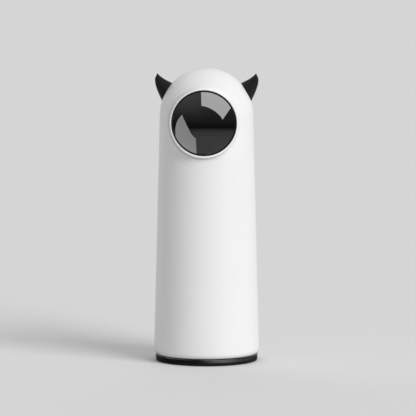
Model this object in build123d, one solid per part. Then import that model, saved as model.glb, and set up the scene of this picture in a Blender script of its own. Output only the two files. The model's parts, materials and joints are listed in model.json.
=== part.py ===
from build123d import *
import os
from math import acos, asin, atan, atan2, cos, hypot, pi, radians, sin, sqrt, tan

# Automatic cat laser toy: a white tapered column with a domed top, two horns and a domed eye lens.
# Behind the lens a laser pans and tilts on two geared joints. Millimetres, +Z up, front towards -Y.
# The origin is on the column's axis, on the surface that the toy stands on.

# ---- Clearances ----
seat_gap = 0.05  # between faces that rest on each other across a curved seat
fit_gap = 0.15  # all round between pieces that drop into each other
running_gap = 0.05  # radial, between a shaft and its hole
slide_gap = 0.10  # radial, between a button or cover and its opening

# ---- Column ----
skirt_radius = 39.1  # at the lower edge of the shells
dome_radius = 34.6
dome_height = 181.8  # centre of the dome
wall = 2.2
skirt_round = 3.6  # outer corner at the lower edge
skirt_flange = 4.4  # width of the flange that turns inwards at the lower edge
seam_lip = 1.4  # how far the rear shell's lip reaches into the front shell
rib_depth = 1.4
rib_width = 1.1
rib_angles = (28.0, 62.0, 118.0, 152.0)  # round each half shell, from the seam
rib_gap = 2.0  # between the ends of the ribs and the screw bosses
snap_heights = (0.15, 0.5, 0.85)  # shares of the free height between the bosses
snap_length = 5.6
snap_width = 8.0
snap_thickness = 1.2
snap_barb = 0.9
snap_tip = 1.3

# ---- Base ----
foot_height = 2.3
foot_inset = 1.5  # rubber foot inside the skirt
foot_width = 6.0
foot_round = 0.8
ring_height = 2.6  # glossy ring between the foot and the shells
ring_inset = 1.2
ring_groove = 0.45
ring_round = 0.5
plate_thickness = 2.6
plate_rim_height = 5.3
plate_rim_width = 1.6

# ---- Eye ----
eye_drop = 4.2  # eye axis under the dome's centre
collar_stand = 2.4  # collar face in front of the dome's equator
collar_ledge = 1.8
collar_round = 3.0  # hollow round where the collar meets the skin
seat_depth = 2.8
lens_rim_radius = 22.45
lens_edge_round = 1.2
lens_rise = 8.6  # top of the lens in front of the collar face
lens_wall = 1.8
lens_flange = 1.25
lens_flange_thickness = 1.6
lens_ledge = 1.25
gasket_height = 1.6
bezel_width = 1.54
bezel_height = 1.2
bezel_skirt = 0.64
bezel_round = 0.6

# ---- Horns ----
# Outer edge, inner edge and half thickness of the horn at stations from root to tip. An edge is
# given by its distance off the dome's surface and its angle of rise about the dome's centre.
horn_stations = (
    ((-1.45, 13.1), (-2.0, 44.6), 5.6),
    ((1.1, 18.9), (0.9, 42.1), 4.8),
    ((6.1, 26.7), (4.4, 40.2), 3.5),
    ((9.9, 31.8), (8.2, 39.7), 2.4),
    ((11.8, 35.0), (10.7, 39.6), 1.5),
    ((12.7, 37.8), (12.1, 39.4), 0.6),
)
horn_tip = (12.8, 39.8)
horn_stem_radius = 4.0
horn_stem_flange = 2.0
horn_flange_thickness = 1.4

# ---- Gears ----
gear_module = 0.8
pressure_angle = 25.0
backlash = 0.14
gear_addendum = 0.85  # in modules
gear_dedendum = 1.2
pan_teeth = 30
pan_pinion_teeth = 12
tilt_teeth = 27
tilt_pinion_teeth = 10
gear_width = 4.0
sector_width = 3.0

# ---- Turret and laser ----
turret_front = 8.4  # pan axis in front of the column's axis
yoke_floor = 2.5
yoke_arm = 2.2
yoke_span = 25.6  # between the arms
yoke_arm_width = 9.0
yoke_floor_margin = 1.5  # floor in front of and behind the arms
saddle_width = 2.0
saddle_inset = 2.5  # from the ends of the tilt motor
saddle_drop = 1.2  # under the middle of the tilt motor
trunnion_radius = 1.5
cradle_width = 13.0
cradle_radius = 5.0
cradle_front = 11.0
cradle_back = 6.0
cradle_round = 0.8
cradle_cheek = 3.6
laser_radius = 3.0
laser_length = 15.0
laser_stand = 1.5  # in front of the cradle
laser_lens_radius = 2.0
laser_mouth = 1.2
laser_lens_inset = 0.4
sector_side = 9.0  # middle of the tilt gears, beside the pan axis
sector_half_angle = 46.0
sector_turn = 15.0  # middle of the sector behind the lowest point
tilt_motor_radius = 4.0
tilt_motor_length = 16.0
tilt_motor_gap = 1.0  # between the motor and its pinion
motor_round = 0.5
motor_boss = 1.0
tilt_shaft_radius = 0.75
pan_axle_radius = 1.5
axle_clip_depth = 1.0
pan_washer = 0.8
pan_hub_radius = 6.0
pan_hub_lift = 0.6
pan_window_radius = 1.9
pan_windows = 6
pan_shaft_radius = 1.0
pan_motor_width = 12.0
pan_motor_depth = 10.0
pan_gearbox_height = 9.0
pan_can_height = 15.0

# ---- Mechanism frame ----
frame_thickness = 2.0
frame_rim = 3.0
frame_rim_width = 1.6
frame_wall_gap = 1.2  # between the pads and the shells
frame_pad_radius = 4.2
frame_pad_angles = (-142.0, -38.0, 45.0, 135.0)
motor_clip_wall = 1.4
motor_clip_height = 7.2

# ---- Screws ----
screw_radius = 1.2
screw_length = 10.0
screw_head_radius = 2.5
screw_head_height = 1.6
cross_width = 0.6
cross_depth = 0.8
boss_wall = 2.2
boss_end = 1.0  # closed end past a screw hole
screw_room = 1.2  # left at the bottom of a screw hole
boss_inset = 3.2  # base bosses inside the flange's bore

# ---- Batteries ----
cell_radius = 7.1
cell_length = 50.5
cell_nub_radius = 2.7
cell_nub_height = 1.2
cell_round = 0.5
cell_gap = 0.7
cell_surround = 0.6  # holder plate outside the cells
contact_thickness = 0.3
contact_width = 6.0
spring_height = 3.2
spring_wire = 0.35
spring_radius = 2.8
spring_turns = 3
holder_plate = 1.6
holder_post_radius = 3.0
terminal_radius = 1.8
terminal_height = 1.0
well_gap = 0.45
well_wall = 1.6
well_top_room = 0.9
strip_front = 3.0  # well contacts, from the terminal's axis
strip_back = 6.0
leaf_front = 2.0
leaf_back = 3.0
leaf_turn = 0.4
leaf_root = 1.8

# ---- Battery cover ----
cover_ledge = 1.4
cover_flange = 3.8
cover_flange_thickness = 1.0
cover_floor = 2.4
cover_sleeve = 1.6
cover_round = 0.3
lug_count = 3
lug_reach = 2.4
lug_height = 1.2
lug_angle = 24.0
lug_turn = 35.0  # from locked to free
lug_notch_room = 4.0  # degrees
lug_stop_angle = 6.0
lug_stop_gap = 1.0  # degrees
grip_radius = 14.5
grip_depth = 1.0
grip_bar = 4.0

# ---- Electronics and controls ----
board_gap = 2.0
board_width = 26.0
board_thickness = 1.6
board_low = 14.0
board_top_gap = 5.9  # under the mechanism frame's rim
board_post_side = 10.0
board_post_shares = (0.176, 0.72)  # of the board's length, from its lower edge
# Left edge, share of the board's length under the lower edge, width, height and thickness of the
# moulded parts on the board.
board_blocks = (
    (-3.0, 0.448, 6.0, 10.0, 1.6),  # controller
    (-2.5, 0.592, 5.0, 5.0, 1.4),  # motor driver
    (-11.0, 0.88, 7.0, 4.0, 4.0),  # plugs for motors, laser and batteries
    (4.0, 0.88, 7.0, 4.0, 4.0),
    (-11.0, 0.288, 7.0, 4.0, 4.0),
)
capacitor_side = 7.0
capacitor_share = 0.368
capacitor_radius = 2.5
capacitor_height = 5.0
lamp_width = 3.0
lamp_height = 2.0
lamp_thickness = 1.2
usb_height = 24.0
usb_width = 8.94
usb_thickness = 3.26
usb_length = 7.4
usb_shell = 0.3
usb_recess = 0.8
usb_recess_width = 12.4
usb_recess_height = 6.6
usb_board_width = 16.0
usb_board_thickness = 1.2
usb_rail_width = 1.6
usb_rail_height = 3.0
usb_rail_start = 5.0  # behind the main board
usb_back_wall = 1.0
tongue_width = 6.6
tongue_thickness = 0.7
tongue_inset = 1.0
button_drop = 15.0  # under the status light
button_radius = 6.0
button_stand = 0.5
button_flange = 1.2
button_flange_thickness = 1.0
button_flange_gap = 0.5
button_stem_radius = 2.2
button_travel = 1.0
button_round = 0.5
dish_radius = 40.0
dish_depth = 0.4
switch_width = 6.0
switch_height = 3.5
switch_plunger_radius = 1.7
switch_plunger_stand = 1.3
switch_plunger_depth = 1.0
light_drop = 6.0  # under the board's top
light_radius = 1.5
light_flange = 1.0
light_flange_thickness = 1.0
light_stand = 0.1

# ---- Sizes worked out from the ones above ----
shell_bottom = foot_height + ring_height
flange_bore = skirt_radius - skirt_flange
plate_radius = flange_bore - fit_gap
plate_top = foot_height + plate_thickness
chassis_top = plate_top + plate_rim_height
foot_radius = skirt_radius - foot_inset
ring_radius = skirt_radius - ring_inset

eye_height = dome_height - eye_drop
collar_front = dome_radius + collar_stand
gasket_radius = lens_rim_radius + lens_flange + 2 * seat_gap
bezel_bore = gasket_radius + seat_gap
collar_radius = bezel_bore + bezel_width
seat_radius = bezel_bore + bezel_skirt + seat_gap
port_radius = lens_rim_radius - lens_ledge
lens_sphere = collar_front + lens_rise - turret_front

pan_centre = gear_module * (pan_teeth + pan_pinion_teeth) / 2
tilt_centre = gear_module * (tilt_teeth + tilt_pinion_teeth) / 2
tilt_motor_height = eye_height - tilt_centre
tilt_pinion_tip = gear_module * (tilt_pinion_teeth / 2 + gear_addendum)
yoke_top = tilt_motor_height - max(tilt_motor_radius, tilt_pinion_tip) - 2 * fit_gap
yoke_bottom = yoke_top - yoke_floor
pan_gear_top = yoke_bottom - pan_hub_lift
pan_gear_bottom = pan_gear_top - gear_width
frame_top = pan_gear_bottom - pan_washer
frame_bottom = frame_top - frame_thickness
pinion_back = pan_centre - turret_front
arm_out = yoke_span / 2 + yoke_arm

boss_hole = screw_radius + running_gap
boss_radius = boss_hole + boss_wall
screw_circle = flange_bore - boss_radius - boss_inset
base_hole_depth = screw_length - boss_wall + screw_room
frame_hole_depth = screw_length - frame_thickness + screw_room
base_boss_top = chassis_top + base_hole_depth + boss_end
frame_boss_bottom = frame_bottom - frame_hole_depth - boss_end
base_screw_angles = (45.0, 135.0, 225.0, 315.0)

cell_offset = cell_radius + cell_gap / 2
holder_corner = cell_offset * sqrt(2) + cell_radius + cell_surround
well_radius = holder_corner + well_gap
cover_bore = well_radius + cell_surround
cover_bottom = foot_height + slide_gap
cover_sleeve_radius = cover_bore - slide_gap
cover_radius = cover_bore + cover_flange
lug_low = plate_top + slide_gap
lug_high = lug_low + lug_height
lug_radius = cover_sleeve_radius + lug_reach
lug_room = lug_radius + 2 * slide_gap
holder_bottom = lug_high + slide_gap
cell_bottom = holder_bottom + holder_plate + contact_thickness
cells_top = cell_bottom + cell_length + spring_height
holder_top = cells_top + contact_thickness + holder_plate
well_ceiling = holder_top + terminal_height + well_top_room

board_front = well_radius + well_wall + board_gap
board_back = board_front + board_thickness
board_high = frame_bottom - frame_rim - board_top_gap
board_length = board_high - board_low
board_post_heights = [board_low + share * board_length for share in board_post_shares]
light_height = board_high - light_drop
button_height = light_height - button_drop


# ---- Helpers ----
def rod(radius, start, end):
    """Round bar between two points."""
    start, end = Vector(*start), Vector(*end)
    bar = Cylinder(radius, (end - start).length, align=(Align.CENTER, Align.CENTER, Align.MIN))
    return Plane(origin=start, z_dir=end - start) * bar


def block(low, high):
    """Box between two opposite corners."""
    centre = [(a + b) / 2 for a, b in zip(low, high)]
    return Pos(*centre) * Box(*[b - a for a, b in zip(low, high)])


def turned(points):
    """Solid turned about Z from an outline of (radius, height) or (radius, height, corner round)."""
    rounds = [point[2] if len(point) > 2 else 0 for point in points]
    flat = [(point[0], point[1]) for point in points]
    line = FilletPolyline(*flat, radius=rounds, close=True) if any(rounds) else Polyline(*flat, close=True)
    return revolve(Plane.XZ * make_face(line), Axis.Z)


def around(angle, radius, height=0.0):
    """Point at an angle in degrees round the column's axis."""
    return (radius * cos(radians(angle)), radius * sin(radians(angle)), height)


def joined(pieces):
    """All pieces fused into one."""
    whole, *others = pieces
    for piece in others:
        whole = whole + piece
    return whole


def save(name, *solids):
    """Writes one node, as one solid or as a group of separate ones."""
    parts = [solid for piece in solids for solid in piece.solids()]
    node = parts[0] if len(parts) == 1 else Compound(children=parts)
    node.label = name
    export_step(node, f"parts/{name}.step")


# ---- Column form ----
def skin_join(inset):
    """Radius and height where the tapered skin runs tangent into the dome."""
    radius, skirt, drop = dome_radius - inset, skirt_radius - inset, shell_bottom - dome_height
    angle = atan2(drop, skirt) + acos(radius / hypot(skirt, drop))
    return radius * cos(angle), dome_height + radius * sin(angle)


def skin_radius(height, inset=0.0):
    """Radius of the column's skin at a height on its tapered part."""
    join_radius, join_height = skin_join(inset)
    share = (height - shell_bottom) / (join_height - shell_bottom)
    return skirt_radius - inset + share * (join_radius - skirt_radius + inset)


def column(inset, bottom):
    """The whole column, its skin moved inwards by an inset, cut off at its bottom."""
    radius = dome_radius - inset
    join = skin_join(inset)
    rise = (pi / 2 + asin((join[1] - dome_height) / radius)) / 2
    middle = (radius * cos(rise), dome_height + radius * sin(rise))
    top = (0, dome_height + radius)
    side = Polyline(join, (skin_radius(bottom, inset), bottom), (0, bottom), top)
    return revolve(Plane.XZ * make_face(side + ThreePointArc(join, middle, top)), Axis.Z)


def half(side):
    """The half of space in front of the seam, side -1, or behind it, side 1."""
    reach = 2 * dome_height
    return Pos(0, side * reach / 2, 0) * Box(2 * reach, reach, 2 * reach)


def skin():
    """Both shells in one, with the flange at the foot and its rounded corner."""
    outer = column(0, shell_bottom)
    corner = outer.edges().filter_by(GeomType.CIRCLE).group_by(Axis.Z)[0]
    outer = fillet(corner, skirt_round)
    bore = rod(flange_bore, (0, 0, 0), (0, 0, shell_bottom + wall))
    return outer - column(wall, shell_bottom + wall) - bore


def wall_boss(angle, reach, low, high):
    """Screw boss that stands off the wall on a rib, with its hole still closed."""
    post = rod(boss_radius, around(angle, reach, low), around(angle, reach, high))
    rib = block((reach, -rib_width, low), (skirt_radius, rib_width, high))
    return (post + Rot(0, 0, angle) * rib) & column(wall / 2, shell_bottom)


def frame_reach():
    """Distance of the mechanism frame's screw pads from the column's axis."""
    return skin_radius(frame_top, wall) - frame_pad_radius - frame_wall_gap


def shell_bosses(side):
    """The screw bosses of one half shell and the holes in them."""
    bosses, holes = [], []
    for angle in frame_pad_angles:
        if side * sin(radians(angle)) > 0:
            reach, deep = frame_reach(), frame_bottom - frame_hole_depth
            bosses.append(wall_boss(angle, reach, frame_boss_bottom, frame_bottom))
            holes.append(rod(boss_hole, around(angle, reach, frame_bottom), around(angle, reach, deep)))
    for angle in base_screw_angles:
        if side * sin(radians(angle)) > 0:
            reach, deep = screw_circle, chassis_top + base_hole_depth
            bosses.append(wall_boss(angle, reach, chassis_top, base_boss_top))
            holes.append(rod(boss_hole, around(angle, reach, chassis_top), around(angle, reach, deep)))
    return bosses, holes


def shell_ribs(side):
    """Stiffening ribs down the inside of one half shell."""
    low, high = base_boss_top + rib_gap, frame_boss_bottom - rib_gap
    ribs = []
    for angle in rib_angles:
        inner = skin_radius(high, wall) - rib_depth
        rib = block((inner, -rib_width / 2, low), (skirt_radius, rib_width / 2, high))
        ribs.append((Rot(0, 0, side * angle) * rib) & column(wall / 2, shell_bottom))
    return ribs


def snap_hook(low, high):
    """Hook of the rear shell that reaches over the seam, with its tip bent outwards."""
    inner = skin_radius(high, wall)
    arm_out_x = inner - snap_barb - fit_gap
    arm_in = arm_out_x - snap_thickness
    root_end = 3 * snap_thickness
    arm = block((arm_in, -snap_length, low), (arm_out_x, root_end, high))
    root = block((arm_in, snap_thickness, low), (skirt_radius, root_end, high))
    root = root & column(wall / 2, shell_bottom)
    tip_out = sqrt(inner**2 - snap_length**2) - fit_gap
    return arm + root + block((arm_in, -snap_length, low), (tip_out, snap_tip - snap_length, high))


def snap_catch(low, high):
    """Catch of the front shell that the tip of a hook snaps behind."""
    inner, front = skin_radius(high, wall), snap_tip - snap_length + fit_gap
    catch = block((inner - snap_barb, front, low), (skirt_radius, front + snap_thickness, high))
    return catch & column(wall / 2, shell_bottom)


def snaps(side):
    """Hooks of the rear shell, side 1, or the catches of the front shell, side -1."""
    make = snap_hook if side > 0 else snap_catch
    pieces = []
    for share in snap_heights:
        height = base_boss_top + (frame_boss_bottom - base_boss_top) * share
        piece = make(height - snap_width / 2, height + snap_width / 2)
        pieces += [piece, mirror(piece, Plane.YZ)]
    return pieces


# ---- Horns ----
def horn_point(stand, rise):
    """Point in the plane of the seam, off the dome's surface by a distance."""
    reach = dome_radius + stand
    return Vector(reach * cos(radians(rise)), 0, dome_height + reach * sin(radians(rise)))


def horn_section(outer, inner, half_thickness):
    """Elliptical cross section of the horn between two points of its edges."""
    outer, inner = horn_point(*outer), horn_point(*inner)
    middle, along = (outer + inner) / 2, outer - inner
    plane = Plane(origin=middle, x_dir=along, z_dir=Vector(0, 1, 0).cross(along) * -1)
    return plane * Ellipse(along.length / 2, half_thickness)


def horn_stem(gap=0.0):
    """Stem that holds a horn in the seam, with the flange behind the wall."""
    outer, inner, _ = horn_stations[1]
    rise = (outer[1] + inner[1]) / 2
    flange_radius = horn_stem_radius + horn_stem_flange
    seat = sqrt((dome_radius - wall) ** 2 - flange_radius**2) - fit_gap - dome_radius
    root = horn_point(seat - horn_flange_thickness, rise)
    stem = rod(horn_stem_radius + gap, root, horn_point(0, rise))
    return stem + rod(flange_radius + gap, root, horn_point(seat + gap, rise))


def horn():
    """Right horn: a curved cone that sits on the dome by its stem."""
    sections = [horn_section(*station) for station in horn_stations]
    body = loft([*sections, Vertex(*horn_point(*horn_tip))])
    dome = Pos(0, 0, dome_height) * Sphere(dome_radius + seat_gap)
    return (body - dome) + horn_stem()


# ---- Eye ----
eye_plane = Plane(origin=(0, 0, eye_height), x_dir=(1, 0, 0), z_dir=(0, -1, 0))


def eye_collar():
    """Round collar of the front shell, open inside, with the seat for lens and bezel."""
    back = collar_front - seat_depth - collar_ledge
    ring = rod(collar_radius, (0, 0, 0), (0, 0, collar_front))
    ring = eye_plane * ring
    inside = column(wall / 2, shell_bottom + wall) & block(
        (-skirt_radius, -back, 0), (skirt_radius, 0, dome_height + dome_radius)
    )
    return ring - inside


def front_skin():
    """Front half of the skin, rounded out towards the collar's foot and cut off at its face."""
    front = skin() & half(-1)
    tall = eye_plane * rod(collar_radius, (0, 0, turret_front), (0, 0, 2 * collar_front))
    tall = tall - column(wall / 2, shell_bottom + wall)
    whole = front + tall
    whole = fillet(new_edges(front, tall, combined=whole), collar_round)
    room = rod(collar_radius + collar_round, (0, 0, collar_front), (0, 0, 3 * collar_front))
    return whole - eye_plane * room


def eye_port():
    """Bore, seat and bezel recess that are cut through the collar."""
    bore = rod(port_radius, (0, 0, turret_front), (0, 0, collar_front + lens_rise))
    seat = rod(seat_radius, (0, 0, collar_front - seat_depth), (0, 0, collar_front + lens_rise))
    recess = rod(collar_radius + seat_gap, (0, 0, collar_front), (0, 0, collar_front + lens_rise))
    return eye_plane * (bore + seat + recess)


def eye_lens():
    """Domed lens with a tight rounded edge and a flange that is clamped in the collar."""
    apex = collar_front + lens_rise
    centre = apex - lens_sphere
    seat = collar_front - seat_depth
    flange_top = seat + lens_flange_thickness
    inner_rim = lens_rim_radius - lens_wall
    inner_sphere = lens_sphere - lens_wall

    dome = Pos(0, 0, centre) * Sphere(lens_sphere) & rod(lens_rim_radius, (0, 0, seat), (0, 0, apex))
    rim = dome.edges().filter_by(lambda edge: edge.is_closed).sort_by(Axis.Z)[-1]
    dome = fillet(rim, lens_edge_round)
    hollow = (Pos(0, 0, centre) * Sphere(inner_sphere)) & rod(inner_rim, (0, 0, seat), (0, 0, apex))
    flange = rod(lens_rim_radius + lens_flange, (0, 0, seat), (0, 0, flange_top))
    return eye_plane * (dome + flange - hollow)


def eye_gasket():
    """Black ring between the lens and the bezel, on the lens's flange."""
    low = collar_front - seat_depth + lens_flange_thickness
    high = low + gasket_height
    bore = lens_rim_radius + seat_gap
    round_ = gasket_height / 4
    outline = [(bore, low), (gasket_radius, low), (gasket_radius, high, round_), (bore, high, round_)]
    return eye_plane * turned(outline)


def eye_bezel():
    """White ring with a rounded lip and a skirt that plugs into the collar."""
    low = collar_front - seat_depth + seat_gap
    lip = collar_front + seat_gap
    high = collar_front + bezel_height
    outline = [
        (bezel_bore, low),
        (bezel_bore + bezel_skirt, low),
        (bezel_bore + bezel_skirt, lip),
        (collar_radius, lip),
        (collar_radius, high, bezel_round),
        (bezel_bore, high, bezel_round),
    ]
    return eye_plane * turned(outline)


# ---- Shells ----
def front_shell():
    """Front half of the housing, with the eye collar."""
    bosses, holes = shell_bosses(-1)
    shell = joined([front_skin(), eye_collar(), *bosses, *shell_ribs(-1), *snaps(-1)])
    rebate = column(wall / 2, shell_bottom + wall) - column(wall, shell_bottom + wall)
    reach = 2 * dome_height
    rebate = rebate & block((-reach, -seam_lip - fit_gap, 0), (reach, seam_lip, reach))
    stem = horn_stem(seat_gap)
    return shell - rebate - eye_port() - stem - mirror(stem, Plane.YZ) - joined(holes)


def rear_shell():
    """Rear half of the housing, with the openings for button, light and USB socket."""
    shell = skin() & half(1)
    bosses, holes = shell_bosses(1)
    inner = column(wall, shell_bottom + wall)
    lip = column(wall / 2 + seat_gap, shell_bottom + wall) - inner
    reach = 2 * dome_height
    lip = lip & block((-reach, -seam_lip, 0), (reach, wall, reach))
    posts = [board_post(x, z) for x in (-board_post_side, board_post_side) for z in board_post_heights]
    shell = joined([shell, lip, *bosses, *posts, *shell_ribs(1), *snaps(1), usb_rails()])
    holes += [
        rod(boss_hole, (x, board_back, z), (x, board_back + screw_length - board_thickness, z))
        for x in (-board_post_side, board_post_side)
        for z in board_post_heights
    ]
    stem = horn_stem(seat_gap)
    cuts = [*holes, rear_openings(), stem, mirror(stem, Plane.YZ)]
    return shell - joined(cuts)


def board_post(x, z):
    """Post from the rear wall that carries the main board."""
    return rod(boss_radius, (x, board_back, z), (x, skirt_radius, z)) & column(wall / 2, shell_bottom)


def slot(width, height, low, high):
    """Bar with round ends lying across X, from one depth to another along Y."""
    face = Plane(origin=(0, low, 0), x_dir=(1, 0, 0), z_dir=(0, 1, 0)) * SlotOverall(width, height)
    return extrude(face, high - low)


def rear_openings():
    """Holes in the rear wall for the button, the light and the plug."""
    far = skirt_radius + wall
    button = rod(button_radius + slide_gap, (0, board_back, button_height), (0, far, button_height))
    light = rod(light_radius + seat_gap, (0, board_back, light_height), (0, far, light_height))
    mouth = slot(usb_width + 2 * fit_gap, usb_thickness + 2 * fit_gap, board_back, far)
    recess_low = skin_radius(usb_height) - usb_recess
    recess = slot(usb_recess_width, usb_recess_height, recess_low, far)
    return button + light + Pos(0, 0, usb_height) * (mouth + recess)


# ---- Base ----
def rubber_foot():
    """Soft ring that the toy stands on."""
    inner = foot_radius - foot_width
    return turned([
        (inner, 0),
        (foot_radius, 0, foot_round),
        (foot_radius, foot_height),
        (inner, foot_height),
    ])


def base_ring():
    """Glossy ring between the foot and the shells, with a groove above the foot."""
    bore = plate_radius + seat_gap
    groove = foot_height + ring_groove
    return turned([
        (bore, foot_height),
        (ring_radius - ring_groove, foot_height),
        (ring_radius - ring_groove, groove),
        (ring_radius, groove, ring_round / 2),
        (ring_radius, shell_bottom, ring_round),
        (bore, shell_bottom),
    ])


def base_chassis():
    """Base plate with its rim, the screw towers and the well for the battery holder."""
    recess = cover_radius + slide_gap
    ledge = plate_top - cover_ledge
    rim = plate_radius - plate_rim_width
    well_out = well_radius + well_wall
    flare_out = lug_room + well_wall
    step = lug_high + fit_gap
    body = turned([
        (cover_bore, ledge),
        (recess, ledge),
        (recess, foot_height),
        (plate_radius, foot_height),
        (plate_radius, chassis_top),
        (rim, chassis_top),
        (rim, plate_top),
        (flare_out, plate_top),
        (flare_out, step + well_wall, well_wall / 2),
        (well_out, step + well_wall),
        (well_out, well_ceiling + well_wall, well_wall),
        (0, well_ceiling + well_wall),
        (0, well_ceiling),
        (well_radius, well_ceiling),
        (well_radius, step),
        (lug_room, step),
        (lug_room, plate_top),
        (cover_bore, plate_top),
    ])
    towers, holes = [], []
    head_seat = chassis_top - boss_wall
    for angle in base_screw_angles:
        low, high = around(angle, screw_circle, foot_height), around(angle, screw_circle, chassis_top)
        seat = around(angle, screw_circle, head_seat)
        towers.append(rod(boss_radius + boss_wall / 2, around(angle, screw_circle, plate_top), high))
        holes += [rod(boss_hole + slide_gap, low, high), rod(screw_head_radius + fit_gap, low, seat)]
    notches = [
        Rot(0, 0, 360 * k / lug_count - lug_turn)
        * lug_wedge(lug_room, ledge, plate_top, lug_angle + lug_notch_room)
        for k in range(lug_count)
    ]
    inside = rod(lug_room, (0, 0, foot_height), (0, 0, step))
    return joined([body, *[tower - inside for tower in towers], lug_stop(step)]) - joined(holes + notches)


def lug_wedge(radius, low, high, angle):
    """Sector of a ring between the cover's sleeve and a radius."""
    inside = cover_sleeve_radius - cover_sleeve / 2
    ring = rod(radius, (0, 0, low), (0, 0, high)) - rod(inside, (0, 0, low), (0, 0, high))
    far = 2 * radius
    spread = tan(radians(angle / 2)) * far
    wedge = extrude(Plane.XY * Polygon((0, 0), (far, -spread), (far, spread), align=None), high - low)
    return ring & Pos(0, 0, low) * wedge


def lug_stop(step):
    """Small stop that the first lug meets when the cover is locked."""
    stop = lug_wedge(lug_room, plate_top, step, lug_stop_angle)
    stop = stop - rod(cover_bore, (0, 0, plate_top), (0, 0, step))
    return Rot(0, 0, (lug_angle + lug_stop_angle) / 2 + lug_stop_gap) * stop


def battery_cover():
    """Round cover with bayonet lugs and a grip bar, turned to open."""
    top = cover_bottom + cover_flange_thickness
    inner = cover_sleeve_radius - cover_sleeve
    body = turned([
        (0, cover_bottom),
        (cover_radius, cover_bottom, cover_round),
        (cover_radius, top),
        (cover_sleeve_radius, top),
        (cover_sleeve_radius, lug_high),
        (inner, lug_high),
        (inner, cover_bottom + cover_floor),
        (0, cover_bottom + cover_floor),
    ])
    lugs = [Rot(0, 0, 360 * k / lug_count) * lug_wedge(lug_radius, lug_low, lug_high, lug_angle)
            for k in range(lug_count)]
    half_bar, grip_top = grip_bar / 2, cover_bottom + grip_depth
    grip = rod(grip_radius, (0, 0, cover_bottom), (0, 0, grip_top))
    bar = block((-grip_radius, -half_bar, cover_bottom), (grip_radius, half_bar, grip_top))
    return joined([body, *lugs]) - (grip - bar)


# ---- Batteries ----
cell_places = [(sx * cell_offset, sy * cell_offset, sx * sy) for sx in (-1, 1) for sy in (-1, 1)]


def cell(x, y, upright):
    """One battery cell; upright 1 has its nub at the top, -1 at the bottom."""
    can = cell_length - cell_nub_height
    shape = turned([
        (0, 0), (cell_radius, 0, cell_round), (cell_radius, can, cell_round),
        (cell_nub_radius, can), (cell_nub_radius, cell_length), (0, cell_length),
    ])
    if upright > 0:
        return Pos(x, y, cell_bottom + spring_height) * shape
    return Pos(x, y, cell_bottom + cell_length) * Rot(180, 0, 0) * shape


def coil_spring(x, y, upright):
    """Contact spring under an upright cell or above an inverted one."""
    low = cell_bottom if upright > 0 else cells_top - spring_height
    height = spring_height - 2 * spring_wire
    path = Helix(height / spring_turns, height, spring_radius)
    wire = Plane(origin=path @ 0, z_dir=path % 0) * Circle(spring_wire)
    return Pos(x, y, low + spring_wire) * sweep(wire, path, is_frenet=True)


def holder_contacts():
    """Contact plates at both ends of the cells, with the two terminals on top."""
    plates = []
    length = 2 * cell_offset + contact_width
    for sy in (-1, 1):
        plate = extrude(SlotOverall(length, contact_width), contact_thickness)
        plates.append(Pos(0, sy * cell_offset, cell_bottom - contact_thickness) * plate)
    bridge = extrude(SlotOverall(length, contact_width, rotation=90), contact_thickness)
    plates.append(Pos(-cell_offset, 0, cells_top) * bridge)
    for sy in (-1, 1):
        x, y = cell_offset, sy * cell_offset
        pad = rod(contact_width / 2, (x, y, cells_top), (x, y, cells_top + contact_thickness))
        stud = rod(terminal_radius, (x, y, cells_top), (x, y, holder_top + terminal_height))
        plates.append(pad + stud)
    return plates


def battery_holder():
    """Holder with two end plates on a post, and webs between the cells."""
    corners = [Pos(x, y, 0) * Circle(cell_radius + cell_surround) for x, y, _ in cell_places]
    outline = make_hull([edge for corner in corners for edge in corner.edges()])
    plate = extrude(outline, holder_plate)
    lower = Pos(0, 0, holder_bottom) * plate
    upper = Pos(0, 0, holder_top - holder_plate) * plate
    post = rod(holder_post_radius, (0, 0, holder_bottom), (0, 0, holder_top))
    reach, thin = cell_offset + cell_radius, (cell_gap - 2 * running_gap) / 2
    low, high = cell_bottom + spring_height, cells_top - spring_height
    webs = block((-reach, -thin, low), (reach, thin, high)) + block((-thin, -reach, low), (thin, reach, high))
    bores = [rod(terminal_radius, (cell_offset, sy * cell_offset, cells_top),
                 (cell_offset, sy * cell_offset, holder_top)) for sy in (-1, 1)]
    return joined([lower, upper, post, webs]) - joined(bores)


def well_contacts():
    """Two sprung strips under the well's ceiling that meet the holder's terminals."""
    strips = []
    stud_top = holder_top + terminal_height
    strip_low = well_ceiling - contact_thickness
    for sy in (-1, 1):
        profile = Polyline(
            (cell_offset + strip_front, well_ceiling),
            (cell_offset - strip_back, well_ceiling),
            (cell_offset - strip_back, strip_low),
            (cell_offset - leaf_back, stud_top),
            (cell_offset + leaf_front, stud_top),
            (cell_offset + leaf_front, stud_top + contact_thickness),
            (cell_offset - leaf_back + leaf_turn, stud_top + contact_thickness),
            (cell_offset - strip_back + leaf_root, strip_low),
            (cell_offset + strip_front, strip_low),
            close=True,
        )
        strip = extrude(Plane.XZ * make_face(profile), terminal_radius, both=True)
        strips.append(Pos(0, sy * cell_offset, 0) * strip)
    return strips


# ---- Screws ----
def screw(head_at, point_to):
    """Pan head screw with a cross recess, from under its head towards its point."""
    body = rod(screw_radius, (0, 0, 0), (0, 0, -screw_length))
    head = turned([
        (0, 0), (screw_head_radius, 0),
        (screw_head_radius, screw_head_height, screw_head_height / 2), (0, screw_head_height),
    ])
    reach, half_width = 0.6 * screw_head_radius, cross_width / 2
    low, high = screw_head_height - cross_depth, screw_head_height
    bar = block((-reach, -half_width, low), (reach, half_width, high))
    cross = [bar, Rot(0, 0, 90) * bar]
    shape = body + head - joined(cross)
    return Plane(origin=head_at, z_dir=point_to) * shape


def base_screws():
    """Four screws up through the chassis into the shells."""
    seat = chassis_top - boss_wall
    return [screw(around(angle, screw_circle, seat), (0, 0, -1)) for angle in base_screw_angles]


def frame_screws():
    """Four screws down through the mechanism frame into the shells."""
    return [screw(around(angle, frame_reach(), frame_top), (0, 0, 1)) for angle in frame_pad_angles]


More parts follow.
